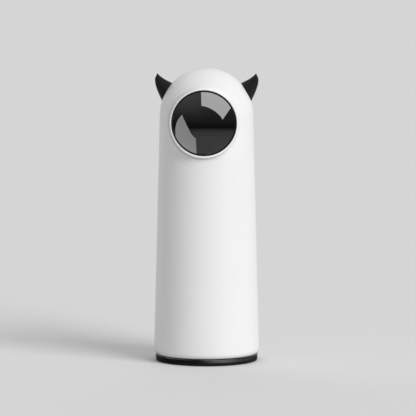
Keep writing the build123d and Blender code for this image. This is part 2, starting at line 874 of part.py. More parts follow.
def board_screws():
    """Four screws through the main board into the rear shell."""
    return [
        screw((x, board_front, z), (0, -1, 0))
        for x in (-board_post_side, board_post_side)
        for z in board_post_heights
    ]


# ---- Gears ----
def gear_outline(teeth, kept=None):
    """Outline points of a spur gear, its flanks involutes; kept limits it to some teeth."""
    pitch = gear_module * teeth / 2
    base = pitch * cos(radians(pressure_angle))
    root, tip = pitch - gear_dedendum * gear_module, pitch + gear_addendum * gear_module

    def involute(radius):
        turn = sqrt(max((radius / base) ** 2 - 1, 0))
        return turn - atan(turn)

    def half_tooth(radius):
        return pi / (2 * teeth) - backlash / (2 * pitch) + involute(pitch) - involute(radius)

    radii = [root, max(root, base) + 0.01, (max(root, base) + tip) / 2, tip]
    points = []
    for tooth in kept if kept is not None else range(teeth):
        middle = 2 * pi * tooth / teeth
        flank = [(radius, middle - half_tooth(radius)) for radius in radii]
        flank += [(radius, middle + half_tooth(radius)) for radius in reversed(radii)]
        points += [(radius * cos(angle), radius * sin(angle)) for radius, angle in flank]
    return points


def spur_gear(teeth, width, bore):
    """Spur gear about Z from height 0, with a tooth on +X."""
    return extrude(make_face(Polyline(*gear_outline(teeth), close=True)), width) - Cylinder(bore, 3 * width)


def pan_gear():
    """Gear under the turret, with a hub that the yoke stands on."""
    root = gear_module * (pan_teeth / 2 - gear_dedendum)
    gear = spur_gear(pan_teeth, gear_width, pan_axle_radius + running_gap)
    hub = rod(pan_hub_radius, (0, 0, 0), (0, 0, gear_width + pan_hub_lift))
    hub = hub - Cylinder(pan_axle_radius + running_gap, 4 * gear_width)
    window = rod(pan_window_radius, (0, 0, 0), (0, 0, gear_width))
    middle = (pan_hub_radius + root) / 2
    windows = [Pos(*around(360 * k / pan_windows, middle)) * window for k in range(pan_windows)]
    gear = gear + hub - joined(windows)
    return Pos(0, -turret_front, pan_gear_bottom) * Rot(0, 0, 90) * gear


def pan_pinion():
    """Pinion on the pan motor's shaft, in mesh with the pan gear."""
    pinion = spur_gear(pan_pinion_teeth, gear_width, pan_shaft_radius)
    return Pos(0, pinion_back, pan_gear_bottom) * Rot(0, 0, -90 + 180 / pan_pinion_teeth) * pinion


def pan_shaft():
    """Shaft from the pan motor up through the pinion."""
    return rod(pan_shaft_radius, (0, pinion_back, frame_bottom), (0, pinion_back, pan_gear_top))


tilt_plane = Plane(origin=(0, -turret_front, eye_height), x_dir=(0, 0, -1), z_dir=(1, 0, 0))


def tilt_sector():
    """Toothed sector on the laser cradle, about the tilt axis."""
    step = 360 / tilt_teeth
    first = round((-sector_half_angle - sector_turn) / step)
    last = round((sector_half_angle - sector_turn) / step)
    hub_radius = 2.4 * trunnion_radius
    outline = [(0, 0), *gear_outline(tilt_teeth, range(first, last + 1))]
    sector = extrude(make_face(Polyline(*outline, close=True)), sector_width)
    sector = sector + rod(hub_radius, (0, 0, 0), (0, 0, sector_width))
    sector = sector - Cylinder(trunnion_radius, 3 * sector_width)
    return tilt_plane * Pos(0, 0, sector_side - sector_width / 2) * sector


def tilt_pinion():
    """Pinion on the tilt motor's shaft, in mesh with the sector."""
    pinion = spur_gear(tilt_pinion_teeth, sector_width, tilt_shaft_radius)
    turned_in = Rot(0, 0, 180 + 180 / tilt_pinion_teeth)
    return tilt_plane * Pos(tilt_centre, 0, sector_side - sector_width / 2) * turned_in * pinion


def tilt_motor_end():
    """Shaft end of the tilt motor along X."""
    return sector_side - sector_width / 2 - tilt_motor_gap


def tilt_shaft():
    """Shaft from the tilt motor through its pinion."""
    y, z = -turret_front, tilt_motor_height
    return rod(tilt_shaft_radius, (tilt_motor_end(), y, z), (sector_side + sector_width / 2, y, z))


def tilt_motor():
    """Small geared motor that lies in the yoke."""
    y, z, end = -turret_front, tilt_motor_height, tilt_motor_end()
    start = end - tilt_motor_length
    body = rod(tilt_motor_radius, (start, y, z), (end, y, z))
    body = fillet(body.edges().filter_by(GeomType.CIRCLE), motor_round)
    return body + rod(tilt_motor_radius / 3, (start - motor_boss, y, z), (start, y, z))


# ---- Turret and laser ----
def turret_yoke():
    """Fork that turns on the pan gear and carries the laser cradle."""
    y = -turret_front
    half_floor = yoke_arm_width / 2 + yoke_floor_margin
    floor = rod(arm_out, (0, y, yoke_bottom), (0, y, yoke_top)) & block(
        (-arm_out, y - half_floor, yoke_bottom), (arm_out, y + half_floor, yoke_top)
    )
    pins = rod(trunnion_radius + running_gap, (-arm_out, y, eye_height), (arm_out, y, eye_height))
    bore = rod(pan_axle_radius + running_gap, (0, y, yoke_bottom), (0, y, yoke_top))
    clip = rod(2 * pan_axle_radius + fit_gap, (0, y, yoke_top - axle_clip_depth), (0, y, yoke_top))
    start, end = tilt_motor_end() - tilt_motor_length, tilt_motor_end()
    motor = rod(
        tilt_motor_radius + seat_gap,
        (start - 2 * motor_boss, y, tilt_motor_height),
        (end + tilt_motor_gap, y, tilt_motor_height),
    )
    return joined([floor, *yoke_arms(), *motor_saddles()]) - pins - bore - motor - clip


def yoke_arms():
    """The two arms of the fork, round at their upper ends."""
    y, height = -turret_front, eye_height - yoke_bottom
    face = SlotOverall(2 * height + yoke_arm_width, yoke_arm_width)
    arm = extrude(Plane(origin=(0, y, yoke_bottom), x_dir=(0, 0, 1), z_dir=(1, 0, 0)) * face, yoke_arm)
    room = block((0, y - yoke_arm_width, yoke_bottom), (yoke_arm, y + yoke_arm_width, eye_height + height))
    arm = arm & room
    return [Pos(yoke_span / 2, 0, 0) * arm, Pos(-yoke_span / 2 - yoke_arm, 0, 0) * arm]


def motor_saddles():
    """Two saddles on the fork's floor that hold the tilt motor."""
    y, half_depth, high = -turret_front, 0.8 * tilt_motor_radius, tilt_motor_height - saddle_drop
    start, end = tilt_motor_end() - tilt_motor_length, tilt_motor_end()
    return [
        block((x - saddle_width / 2, y - half_depth, yoke_top), (x + saddle_width / 2, y + half_depth, high))
        for x in (start + saddle_inset, end - saddle_inset)
    ]


def pan_axle():
    """Steel axle that stands in the frame and carries the turret."""
    y = -turret_front
    return rod(pan_axle_radius, (0, y, frame_bottom - frame_rim), (0, y, yoke_top - slide_gap))


def axle_clip():
    """Push-on clip that keeps the turret on its axle."""
    low, high = yoke_top - axle_clip_depth + slide_gap, yoke_top - slide_gap
    ends = ((0, -turret_front, low), (0, -turret_front, high))
    return rod(2 * pan_axle_radius, *ends) - rod(pan_axle_radius, *ends)


def laser_cradle():
    """Cradle that holds the laser along -Y and rocks on two trunnions."""
    y, z = -turret_front, eye_height
    front, back = y - cradle_front, y + cradle_back
    barrel = rod(cradle_radius, (0, front, z), (0, back, z))
    barrel = fillet(barrel.edges().filter_by(GeomType.CIRCLE), cradle_round)
    shoulder_end = yoke_span / 2 - slide_gap
    gear_low, gear_high = sector_side - sector_width / 2, sector_side + sector_width / 2
    shoulder = rod(2 * trunnion_radius, (-shoulder_end, y, z), (gear_low, y, z))
    collar = rod(2 * trunnion_radius, (gear_high, y, z), (shoulder_end, y, z))
    trunnions = rod(trunnion_radius, (-arm_out, y, z), (arm_out, y, z))
    cheeks = block(
        (-cradle_width / 2, y - cradle_cheek, z - cradle_cheek),
        (cradle_width / 2, y + cradle_cheek, z + cradle_cheek),
    )
    bore = rod(laser_radius + seat_gap, (0, front, z), (0, back, z))
    return joined([barrel, cheeks, shoulder, collar, trunnions]) - bore


def laser_front():
    """Depth of the laser barrel's mouth."""
    return -turret_front - cradle_front - laser_stand


def laser_module():
    """Brass laser barrel, stepped at its mouth."""
    front, z = laser_front(), eye_height
    body = rod(laser_radius, (0, front, z), (0, front + laser_length, z))
    return body - rod(laser_lens_radius, (0, front, z), (0, front + laser_mouth, z))


def laser_lens():
    """Small collimator lens in the mouth of the laser barrel."""
    front, z = laser_front(), eye_height
    return rod(laser_lens_radius, (0, front + laser_lens_inset, z), (0, front + laser_mouth, z))


# ---- Mechanism frame ----
def mechanism_frame():
    """Plate with a turned-down rim that carries the pan axle and motor."""
    pads = [around(angle, frame_reach()) for angle in frame_pad_angles]
    rim_low = frame_bottom - frame_rim
    outline, hollow = [
        make_hull([edge for x, y, _ in pads for edge in (Pos(x, y, 0) * Circle(radius)).edges()])
        for radius in (frame_pad_radius, frame_pad_radius - frame_rim_width)
    ]
    plate = Pos(0, 0, frame_bottom) * extrude(outline, frame_thickness)
    rim = Pos(0, 0, rim_low) * extrude(outline - hollow, frame_rim)
    relief = [rod(frame_pad_radius + fit_gap, (x, y, rim_low), (x, y, frame_bottom)) for x, y, _ in pads]
    washer_top = pan_gear_bottom - running_gap
    washer = rod(2 * pan_axle_radius, (0, -turret_front, rim_low), (0, -turret_front, washer_top))
    holes = [rod(boss_hole + slide_gap, (x, y, frame_bottom), (x, y, frame_top)) for x, y, _ in pads]
    holes.append(rod(pan_axle_radius, (0, -turret_front, rim_low), (0, -turret_front, washer_top)))
    holes.append(rod(2.5 * pan_shaft_radius, (0, pinion_back, frame_bottom), (0, pinion_back, frame_top)))
    return joined([plate, rim - joined(relief), washer, *motor_clips()]) - joined(holes)


def motor_clips():
    """Two walls under the frame that clip round the pan motor's gearbox."""
    inner = pan_motor_width / 2 + seat_gap
    half_depth = pan_motor_depth / 2
    clip = block(
        (inner, pinion_back - half_depth, frame_bottom - motor_clip_height),
        (inner + motor_clip_wall, pinion_back + half_depth, frame_bottom),
    )
    return [clip, mirror(clip, Plane.YZ)]


def pan_motor():
    """Gear motor that hangs under the frame: a flat-sided can on a gearbox."""
    y = pinion_back
    half_width, half_depth = pan_motor_width / 2, pan_motor_depth / 2
    low = frame_bottom - pan_gearbox_height
    bottom = low - pan_can_height
    gearbox = block((-half_width, y - half_depth, low), (half_width, y + half_depth, frame_bottom))
    can = rod(half_width, (0, y, bottom), (0, y, low)) & block(
        (-half_width, y - half_depth, bottom), (half_width, y + half_depth, low)
    )
    return gearbox + can + rod(half_width / 3, (0, y, bottom - motor_boss), (0, y, bottom))


# ---- Electronics and controls ----
def main_board():
    """Printed circuit board behind the battery well."""
    half_width = board_width / 2
    board = block((-half_width, board_front, board_low), (half_width, board_back, board_high))
    holes = [
        rod(boss_hole + slide_gap, (x, board_front, z), (x, board_back, z))
        for x in (-board_post_side, board_post_side)
        for z in board_post_heights
    ]
    return board - joined(holes)


def board_parts():
    """Chips, plugs, capacitor and light source on the main board."""
    y = board_back
    parts = [
        Pos(x, y, board_low + share * board_length) * block((0, 0, 0), (width, thickness, height))
        for x, share, width, height, thickness in board_blocks
    ]
    x, z = capacitor_side, board_low + capacitor_share * board_length
    capacitor = rod(capacitor_radius, (x, y, z), (x, y + capacitor_height, z))
    half_width, half_height = lamp_width / 2, lamp_height / 2
    lamp = block(
        (-half_width, y, light_height - half_height),
        (half_width, y + lamp_thickness, light_height + half_height),
    )
    return [*parts, capacitor, lamp]


def usb_board_top():
    """Height of the upper face of the small board under the socket."""
    return usb_height - usb_thickness / 2


def usb_mouth():
    """Depth of the socket's mouth, just inside the recess."""
    return skin_radius(usb_height) - usb_recess - fit_gap


def usb_board():
    """Small board that carries the USB socket."""
    top, half_width = usb_board_top(), usb_board_width / 2
    back = sqrt(skin_radius(top, wall) ** 2 - half_width**2) - 2 * fit_gap
    return block((-half_width, board_back, top - usb_board_thickness), (half_width, back, top))


def usb_rails():
    """Two ledges of the rear shell under the small board."""
    top, half_width = usb_board_top() - usb_board_thickness, usb_board_width / 2
    rail = block(
        (half_width - usb_rail_width, board_back + usb_rail_start, top - usb_rail_height),
        (half_width, skirt_radius, top),
    )
    rails = rail + mirror(rail, Plane.YZ)
    return rails & column(wall / 2, shell_bottom)


def usb_socket():
    """Metal shell of the USB socket."""
    mouth = usb_mouth()
    back = mouth - usb_length
    outer = slot(usb_width, usb_thickness, back, mouth)
    inner = slot(usb_width - 2 * usb_shell, usb_thickness - 2 * usb_shell, back + usb_back_wall, mouth)
    return Pos(0, 0, usb_height) * (outer - inner)


def usb_tongue():
    """Contact tongue inside the USB socket."""
    back, front = usb_mouth() - usb_length + usb_back_wall, usb_mouth() - tongue_inset
    half_width, half_thickness = tongue_width / 2, tongue_thickness / 2
    return block(
        (-half_width, back, usb_height - half_thickness),
        (half_width, front, usb_height + half_thickness),
    )


def switch_top():
    """Depth of the mode switch's rear face."""
    return board_back + switch_height


def mode_switch():
    """Push switch on the main board, under the button."""
    half_width, top = switch_width / 2, switch_top()
    body = block(
        (-half_width, board_back, button_height - half_width),
        (half_width, top, button_height + half_width),
    )
    start = top - switch_plunger_depth - button_travel - 2 * slide_gap
    return body - rod(switch_plunger_radius + running_gap, (0, start, button_height), (0, top, button_height))


def switch_plunger():
    """Plunger of the mode switch, which moves with the button."""
    low, high = switch_top() - switch_plunger_depth, switch_top() + switch_plunger_stand
    return rod(switch_plunger_radius, (0, low, button_height), (0, high, button_height))


def mode_button():
    """Round button with a flange behind the wall and a stem to the switch."""
    flange_radius = button_radius + button_flange
    inner = skin_radius(button_height + flange_radius, wall)
    flange_face = sqrt(inner**2 - flange_radius**2) - button_flange_gap
    face = skin_radius(button_height) + button_stand
    low = switch_top() + switch_plunger_stand
    z = button_height
    cap = rod(button_radius, (0, flange_face, z), (0, face, z))
    cap = fillet(cap.edges().filter_by(GeomType.CIRCLE).sort_by(Axis.Y)[-1], button_round)
    dish = Pos(0, face + dish_radius - dish_depth, z) * Sphere(dish_radius)
    flange = rod(flange_radius, (0, flange_face - button_flange_thickness, z), (0, flange_face, z))
    stem = rod(button_stem_radius, (0, low, z), (0, flange_face, z))
    return cap - dish + flange + stem


def status_light():
    """Clear light pipe above the button, with a flange behind the wall."""
    z, low = light_height, board_back + lamp_thickness + 2 * fit_gap
    flange_radius = light_radius + light_flange
    inner = sqrt(skin_radius(z + flange_radius, wall) ** 2 - flange_radius**2) - seat_gap
    pipe = rod(light_radius, (0, low, z), (0, skin_radius(z) + light_stand, z))
    return pipe + rod(flange_radius, (0, inner - light_flange_thickness, z), (0, inner, z))


# ---- Build ----
def main():
    """Makes every piece and writes it to its own file."""
    os.makedirs("parts", exist_ok=True)
    right_horn = horn()
    save("front_shell", front_shell())
    save("rear_shell", rear_shell())
    save("right_horn", right_horn)
    save("left_horn", mirror(right_horn, Plane.YZ))
    save("eye_lens", eye_lens())
    save("eye_gasket", eye_gasket())
    save("eye_bezel", eye_bezel())
    save("rubber_foot", rubber_foot())
    save("base_ring", base_ring())
    save("base_chassis", base_chassis())
    save("base_screws", *base_screws())
    save("battery_cover", battery_cover())
    save("battery_cells", *[cell(*place) for place in cell_places])
    save("battery_springs", *[coil_spring(*place) for place in cell_places])
    save("battery_contacts", *holder_contacts())
    save("battery_holder", battery_holder())
    save("well_contacts", *well_contacts())
    save("mechanism_frame", mechanism_frame())
    save("frame_screws", *frame_screws())
    save("pan_motor", pan_motor())
    save("pan_shaft", pan_shaft())
    save("pan_pinion", pan_pinion())
    save("pan_gear", pan_gear())
    save("pan_axle", pan_axle())
    save("axle_clip", axle_clip())
    save("turret_yoke", turret_yoke())
    save("tilt_motor", tilt_motor())
    save("tilt_shaft", tilt_shaft())
    save("tilt_pinion", tilt_pinion())
    save("tilt_sector", tilt_sector())
    save("laser_cradle", laser_cradle())
    save("laser_module", laser_module())
    save("laser_lens", laser_lens())
    save("main_board", main_board())
    save("board_parts", *board_parts())
    save("board_screws", *board_screws())
    save("usb_board", usb_board())
    save("usb_socket", usb_socket())
    save("usb_tongue", usb_tongue())
    save("mode_switch", mode_switch())
    save("switch_plunger", switch_plunger())
    save("mode_button", mode_button())
    save("status_light", status_light())


main()
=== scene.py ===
import json
import logging
from dataclasses import dataclass, field
from enum import Enum
from math import asin, cos, degrees, pi, radians, sin, sqrt, tau
from typing import Any, Callable, Iterable, Sequence, Union

import bmesh
import bpy
from bpy.types import ID, Collection, Material, Node, NodeSocket, NodeTree, Object
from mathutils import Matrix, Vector


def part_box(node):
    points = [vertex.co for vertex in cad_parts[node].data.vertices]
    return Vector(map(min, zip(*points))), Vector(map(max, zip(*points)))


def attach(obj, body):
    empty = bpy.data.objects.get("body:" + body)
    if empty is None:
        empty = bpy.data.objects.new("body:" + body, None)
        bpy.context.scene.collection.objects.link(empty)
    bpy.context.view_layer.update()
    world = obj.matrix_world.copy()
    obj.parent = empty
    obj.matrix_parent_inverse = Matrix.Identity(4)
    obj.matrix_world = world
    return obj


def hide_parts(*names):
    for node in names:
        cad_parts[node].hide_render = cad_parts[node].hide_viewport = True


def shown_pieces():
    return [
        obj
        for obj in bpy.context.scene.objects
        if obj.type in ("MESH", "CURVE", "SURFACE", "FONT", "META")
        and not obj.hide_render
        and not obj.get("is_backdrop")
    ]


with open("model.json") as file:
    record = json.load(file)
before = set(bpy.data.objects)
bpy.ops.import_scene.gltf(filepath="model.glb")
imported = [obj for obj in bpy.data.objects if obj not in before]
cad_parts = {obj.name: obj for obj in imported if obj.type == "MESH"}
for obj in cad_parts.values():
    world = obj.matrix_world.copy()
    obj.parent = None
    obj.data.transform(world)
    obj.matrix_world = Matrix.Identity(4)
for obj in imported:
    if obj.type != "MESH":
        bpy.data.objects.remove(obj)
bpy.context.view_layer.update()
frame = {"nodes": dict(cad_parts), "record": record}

# Looks of the automatic cat laser toy: finishes for every piece, a polished eye lens, the horns as
# sculpted silicone mouldings, a grooved foot, threaded screws, solder joints, chip legs, and the
# studio with the cards that the glossy pieces mirror.
# Metres, +Z up, front towards -Y.

log = logging.getLogger("laser_toy")
MM = 0.001
AROUND = 256
FRONT = Vector((0, -1, 0))
UP = Vector((0, 0, 1))

Colour = tuple[float, float, float]
Place = tuple[float, float]
Spots = Sequence[tuple[Vector, Vector]]


class Slot(Enum):
    """The record's material slots."""

    SHELL = "white_shell"
    HORN = "black_horn"
    LENS = "smoked_lens"
    GLOSS = "black_gloss"
    PLASTIC = "black_plastic"
    RUBBER = "foot_rubber"
    GEAR = "gear_plastic"
    STEEL = "steel"
    BRASS = "brass"
    BOARD = "board"
    CHIP = "chip"
    CELL = "cell_jacket"
    OPTIC = "clear_lens"


class Body(Enum):
    """The CAD bodies that pieces ride on."""

    HOUSING = "housing"


# ---- Shader maths ----
def operator(operation: str, reflected: bool = False) -> Callable[["Signal", "Number"], "Signal"]:
    """Makes an operator of Signal that adds one Math node.

    Args:
        operation: The node's operation.
        reflected: Whether the other number comes first.

    Returns:
        The operator.
    """
    def apply(one: "Signal", other: "Number") -> "Signal":
        """Adds the node."""
        return one.math(operation, *((other, one) if reflected else (one, other)))

    return apply


class Signal:
    """A number that changes over a surface. Arithmetic on it adds Math nodes."""

    def __init__(self, maker: "Maker", socket: NodeSocket) -> None:
        """Wraps an output socket of a maker's tree."""
        self.maker = maker
        self.socket = socket

    def math(self, operation: str, *terms: "Number") -> "Signal":
        """Adds one Math node with the given inputs, in order."""
        node = self.maker.add("ShaderNodeMath", {"operation": operation}, dict(enumerate(terms)))
        return Signal(self.maker, node.outputs[0])

    __add__, __radd__ = operator("ADD"), operator("ADD", reflected=True)
    __sub__, __rsub__ = operator("SUBTRACT"), operator("SUBTRACT", reflected=True)
    __mul__, __rmul__ = operator("MULTIPLY"), operator("MULTIPLY", reflected=True)
    __truediv__, __mod__ = operator("DIVIDE"), operator("FLOORED_MODULO")
    __lt__, __gt__ = operator("LESS_THAN"), operator("GREATER_THAN")
    __pow__ = operator("POWER")
    at_most, at_least = operator("MINIMUM"), operator("MAXIMUM")

    def __abs__(self) -> "Signal":
        """Size without its sign."""
        return self.math("ABSOLUTE", self)

    def wave(self) -> "Signal":
        """Sine."""
        return self.math("SINE", self)

    def ease(self, low: float, high: float) -> "Signal":
        """Smooth step.

        Args:
            low: Where the result is 0.
            high: Where the result is 1.

        Returns:
            A number from 0 to 1.
        """
        settings = {"interpolation_type": "SMOOTHSTEP"}
        node = self.maker.add("ShaderNodeMapRange", settings, {"Value": self, 1: low, 2: high})
        return Signal(self.maker, node.outputs["Result"])


Number = Union[float, Signal]
Tint = Union[Colour, NodeSocket]
Link = Union[Signal, Node, NodeSocket]
Entry = Union[float, str, Sequence[float], Link, list[Link]]


class Maker:
    """Builds one node tree."""

    def __init__(self, tree: NodeTree) -> None:
        """Takes a tree and empties it."""
        self.tree = tree
        tree.nodes.clear()

    @classmethod
    def material(cls, name: str) -> tuple["Maker", Material]:
        """Makes an empty material.

        Args:
            name: The material's name.

        Returns:
            Its maker and the material.
        """
        material = bpy.data.materials.new(name)
        material.use_nodes = True
        return cls(material.node_tree), material

    def add(self, kind: str, settings: dict[str, Any], values: dict[Any, Entry]) -> Node:
        """Adds any node.

        Args:
            kind: The node's type.
            settings: Its properties, set first.
            values: Numbers, colours or links for its input sockets, by name or number. A node
                stands for its first output, and a socket that takes several has a list.

        Returns:
            The node.
        """
        node = self.tree.nodes.new(kind)
        for key, setting in settings.items():
            setattr(node, key, setting)
        for key, value in values.items():
            for entry in value if isinstance(value, list) else [value]:
                entry = entry.socket if isinstance(entry, Signal) else entry
                entry = entry.outputs[0] if isinstance(entry, Node) else entry
                if isinstance(entry, NodeSocket):
                    self.tree.links.new(entry, node.inputs[key])
                else:
                    node.inputs[key].default_value = entry
        return node

    def end(self, shader: Node, output: str = "Material") -> None:
        """Ends the tree with its shader in the output of a material or the world."""
        self.add("ShaderNodeOutput" + output, {}, {"Surface": shader})

    def place(self) -> NodeSocket:
        """The point on the surface, in the object's own metres."""
        return self.add("ShaderNodeTexCoord", {}, {}).outputs["Object"]

    def axes(self) -> tuple[Signal, Signal, Signal]:
        """The point's three coordinates."""
        parts = self.add("ShaderNodeSeparateXYZ", {}, {0: self.place()}).outputs
        return Signal(self, parts[0]), Signal(self, parts[1]), Signal(self, parts[2])

    def reach(self) -> Signal:
        """Distance from the object's upright axis."""
        x, y, _ = self.axes()
        return (x * x + y * y) ** 0.5

    def spread(self, size: float, stretch: Sequence[float] = (1, 1, 1)) -> Node:
        """The point in parts of a size, squeezed along each axis."""
        scale = tuple(factor / size for factor in stretch)
        return self.add("ShaderNodeMapping", {}, {"Vector": self.place(), "Scale": scale})

    def noise(self, size: float, detail: float = 2.0, stretch: Sequence[float] = (1, 1, 1)) -> Signal:
        """Soft noise about 0.5, with features of a size in metres and finer layers by detail."""
        values = {"Vector": self.spread(size, stretch), "Scale": 1.0, "Detail": detail}
        return Signal(self, self.add("ShaderNodeTexNoise", {}, values).outputs["Fac"])

    def cells(self, size: float) -> Signal:
        """Distance to the nearest of many scattered points, in parts of their spacing."""
        node = self.add("ShaderNodeTexVoronoi", {}, {"Vector": self.spread(size), "Scale": 1.0})
        return Signal(self, node.outputs["Distance"])

    def blend(self, share: Number, first: Tint, second: Tint) -> NodeSocket:
        """Mixes two colours.

        Args:
            share: How much of the second there is.
            first: The first colour.
            second: The second colour.

        Returns:
            The mixed colour's socket.
        """
        values = {0: share, 6: first, 7: second}
        for key in (6, 7):
            if not isinstance(values[key], NodeSocket):
                values[key] = (*values[key], 1.0)
        return self.add("ShaderNodeMix", {"data_type": "RGBA"}, values).outputs[2]

    def relief(self, height: Signal, depth: float) -> Node:
        """The normal of a pattern from 0 to 1 that is so many metres deep."""
        return self.add("ShaderNodeBump", {}, {"Height": height, "Distance": depth, "Strength": 1.0})


# ---- Finishes ----
@dataclass(frozen=True)
class Grain:
    """Noise: its size in metres, its finer layers, how much it changes, its stretch and its edges."""

    size: float
    detail: float
    amount: float
    stretch: Sequence[float] = (1, 1, 1)
    edges: Union[Place, None] = None

    def over(self, maker: Maker) -> Signal:
        """The noise over the surface, about 0.5 or from 0 to 1 between its edges."""
        noise = maker.noise(self.size, self.detail, self.stretch)
        return noise.ease(*self.edges) if self.edges else noise


@dataclass(frozen=True)
class Finish:
    """A finish: a base colour, a roughness and what changes both over the surface."""

    name: str
    colour: Colour
    roughness: float
    mottle: Grain = Grain(8 * MM, 3.0, 0.94)
    haze: Grain = Grain(5 * MM, 3.0, 0.3)
    skin: Grain = Grain(0.35 * MM, 2.0, 0.01 * MM)
    constants: dict[str, float] = field(default_factory=dict)

    def times(self, factor: float) -> Colour:
        """The base colour, darker or paler."""
        return tuple(factor * part for part in self.colour)

    def tint(self, maker: Maker) -> Tint:
        """The colour over the surface, darker or paler by the mottle."""
        return maker.blend(self.mottle.over(maker), self.colour, self.times(self.mottle.amount))

    def gloss(self, maker: Maker) -> Signal:
        """The roughness over the surface, uneven by the haze."""
        haze = self.haze.amount
        return self.roughness * (1 - haze / 2 + haze * self.haze.over(maker))

    def normal(self, maker: Maker) -> Link:
        """The fine relief of the skin."""
        return maker.relief(self.skin.over(maker), self.skin.amount)

    def build(self) -> Material:
        """Makes the material.

        Returns:
            The material.
        """
        maker, material = Maker.material(self.name)
        values = {
            "Base Color": self.tint(maker),
            "Roughness": self.gloss(maker),
            "Normal": self.normal(maker),
            **self.constants,
        }
        maker.end(maker.add("ShaderNodeBsdfPrincipled", {}, values))
        material.diffuse_color = (*self.colour, 1.0)
        return material


@dataclass(frozen=True)
class SatinShell(Finish):
    """Satin white moulding with a spark-eroded grain, the fine seam of the two shells, and painted light
    and shade round the eye's ring.
    """

    mottle: Grain = Grain(22 * MM, 4.0, 0.975, (1, 1, 0.4))
    grain: float = 0.32 * MM
    grain_depth: float = 0.006
    seam: float = 0.11 * MM
    seam_depth: float = 0.05
    seam_shade: float = 0.45
    eye_height: float = 0.0
    ring: float = 0.0
    column: float = 0.0
    ring_lean: float = 0.17
    # The ring's tone below is painted light: it lifts the eye's ring where the lens shades it and stands in
    # for the ring's glints.
    ring_painted_light: float = 0.98
    ring_share: float = 0.2
    # The crease values below paint shade into the colour round the eye's ring: its place, width, shift,
    # darkest side and depth.
    crease_off: float = 0.5 * MM
    crease_half: float = 1.2 * MM
    crease_shift: float = 0.025
    painted_shade_side: float = 235.0
    crease_painted_shade: float = 0.55

    def groove(self, maker: Maker) -> Signal:
        """1 in the seam between the shells, 0 elsewhere."""
        return 1 - abs(maker.axes()[1]).ease(0.5 * self.seam, 1.6 * self.seam)

    def from_eye(self, maker: Maker) -> Signal:
        """Distance from the eye's axis on the front, and far away at the back.

        Args:
            maker: The material's maker.

        Returns:
            The distance in metres.
        """
        x, y, z = maker.axes()
        rise = z - self.eye_height
        return (x * x + rise * rise) ** 0.5 + (y > 0.0)

    def off_ring(self, maker: Maker) -> Signal:
        """0 on the eye's ring, 1 on the shells."""
        return self.from_eye(maker).ease(self.ring, self.ring + 2 * self.crease_off)

    def crease(self, maker: Maker) -> Signal:
        """Painted shade in the crease round the eye's ring, deepest on the lower left, away from the key
        light.

        Args:
            maker: The material's maker.

        Returns:
            The painted shade, from 0 to 1.
        """
        x, _, z = maker.axes()
        reach = self.from_eye(maker)
        side = radians(self.painted_shade_side)
        turned = (x * cos(side) + (z - self.eye_height) * sin(side)) / reach
        # The painted shade is deepest on the lower left, away from the key light, and fades towards the
        # right.
        lean = ((1 + turned) * 0.5).at_least(0.0) ** 2.0
        middle = self.ring + self.crease_off - self.crease_shift * x
        return (1 - abs(reach - middle).ease(0.0, self.crease_half)) * lean

    def tint(self, maker: Maker) -> Tint:
        """White with a faint flow mottle, painted light on the eye's ring, shade in the seam, and painted
        shade in the collar's crease.

        Args:
            maker: The material's maker.

        Returns:
            The colour.
        """
        # On the ring the colour is mostly the pale painted-light tone, with a little of the shells' mottle.
        share = self.ring_share + (1 - self.ring_share) * self.off_ring(maker)
        white = maker.blend(share, (self.ring_painted_light,) * 3, super().tint(maker))
        # The crease term is painted shade in the collar's crease; the groove term darkens the seam line.
        shade = self.groove(maker) * (1 - self.seam_shade) + self.crease(maker) * (1 - self.crease_painted_shade)
        return maker.blend(1 - shade, (0.0, 0.0, 0.0), white)

    def normal(self, maker: Maker) -> Link:
        """Fine grain with the seam pressed in, and the ring crowned like the column.

        Args:
            maker: The material's maker.

        Returns:
            The normal.
        """
        grain = maker.noise(self.grain, 1.0) * self.grain_depth
        plain = maker.relief(grain - self.groove(maker) * self.seam_depth, MM)
        x, _, z = maker.axes()
        crown = (self.column**2 - x * x).at_least(0.0) ** 0.5 - self.ring_lean * z
        crowned = maker.relief(grain + crown * (1 / MM), MM)
        values = {0: self.off_ring(maker), 4: crowned, 5: plain}
        return maker.add("ShaderNodeMix", {"data_type": "VECTOR"}, values).outputs[1]


@dataclass(frozen=True)
class GlossBand(Finish):
    """Glossy black moulding with dull hairlines from handling."""

    hairs: Grain = Grain(0.5 * MM, 2.0, 0.8, (1, 1, 12), (0.62, 0.7))

    def gloss(self, maker: Maker) -> Signal:
        """Gloss crossed by the hairlines."""
        return self.roughness * (1 + self.hairs.amount * self.hairs.over(maker))


@dataclass(frozen=True)
class SparkTexture(Finish):
    """Black plastic with a coarse spark-eroded texture."""

    grain: float = 0.5 * MM
    worn: Place = (0.25, 0.7)
    worn_tone: float = 1.7
    fine: Grain = Grain(0.25 * MM, 2.0, 0.4)
    depth: float = 0.03 * MM

    def tint(self, maker: Maker) -> Tint:
        """Grey on the tops of the grain."""
        worn = maker.cells(self.grain).ease(*self.worn)
        return maker.blend(worn, self.colour, self.times(self.worn_tone))

    def normal(self, maker: Maker) -> Link:
        """Pebbled grain."""
        return maker.relief(maker.cells(self.grain) + self.fine.amount * self.fine.over(maker), self.depth)


@dataclass(frozen=True)
class Rubber(Finish):
    """Matte rubber with dust in its pores and fine turning marks."""

    mottle: Grain = Grain(2.5 * MM, 6.0, 1.5, edges=(0.55, 0.8))
    pores: Grain = Grain(0.3 * MM, 3.0, 0.02 * MM)
    turning: float = 0.9 * MM

    def normal(self, maker: Maker) -> Link:
        """Rings round the axis, and pores."""
        rings = (maker.reach() * (tau / self.turning)).wave() * 0.5 + 0.5
        return maker.relief(rings * 0.5 + self.pores.over(maker), self.pores.amount)


def brushed(name: str, colour: Colour, roughness: float, lines: Sequence[float]) -> Finish:
    """Metal with fine lines along one axis, rougher where they are dense."""
    mottle, haze = Grain(1.2 * MM, 4.0, 0.78, lines), Grain(0.6 * MM, 3.0, 0.6, lines)
    return Finish(name, colour, roughness, mottle, haze, constants={"Metallic": 1.0})


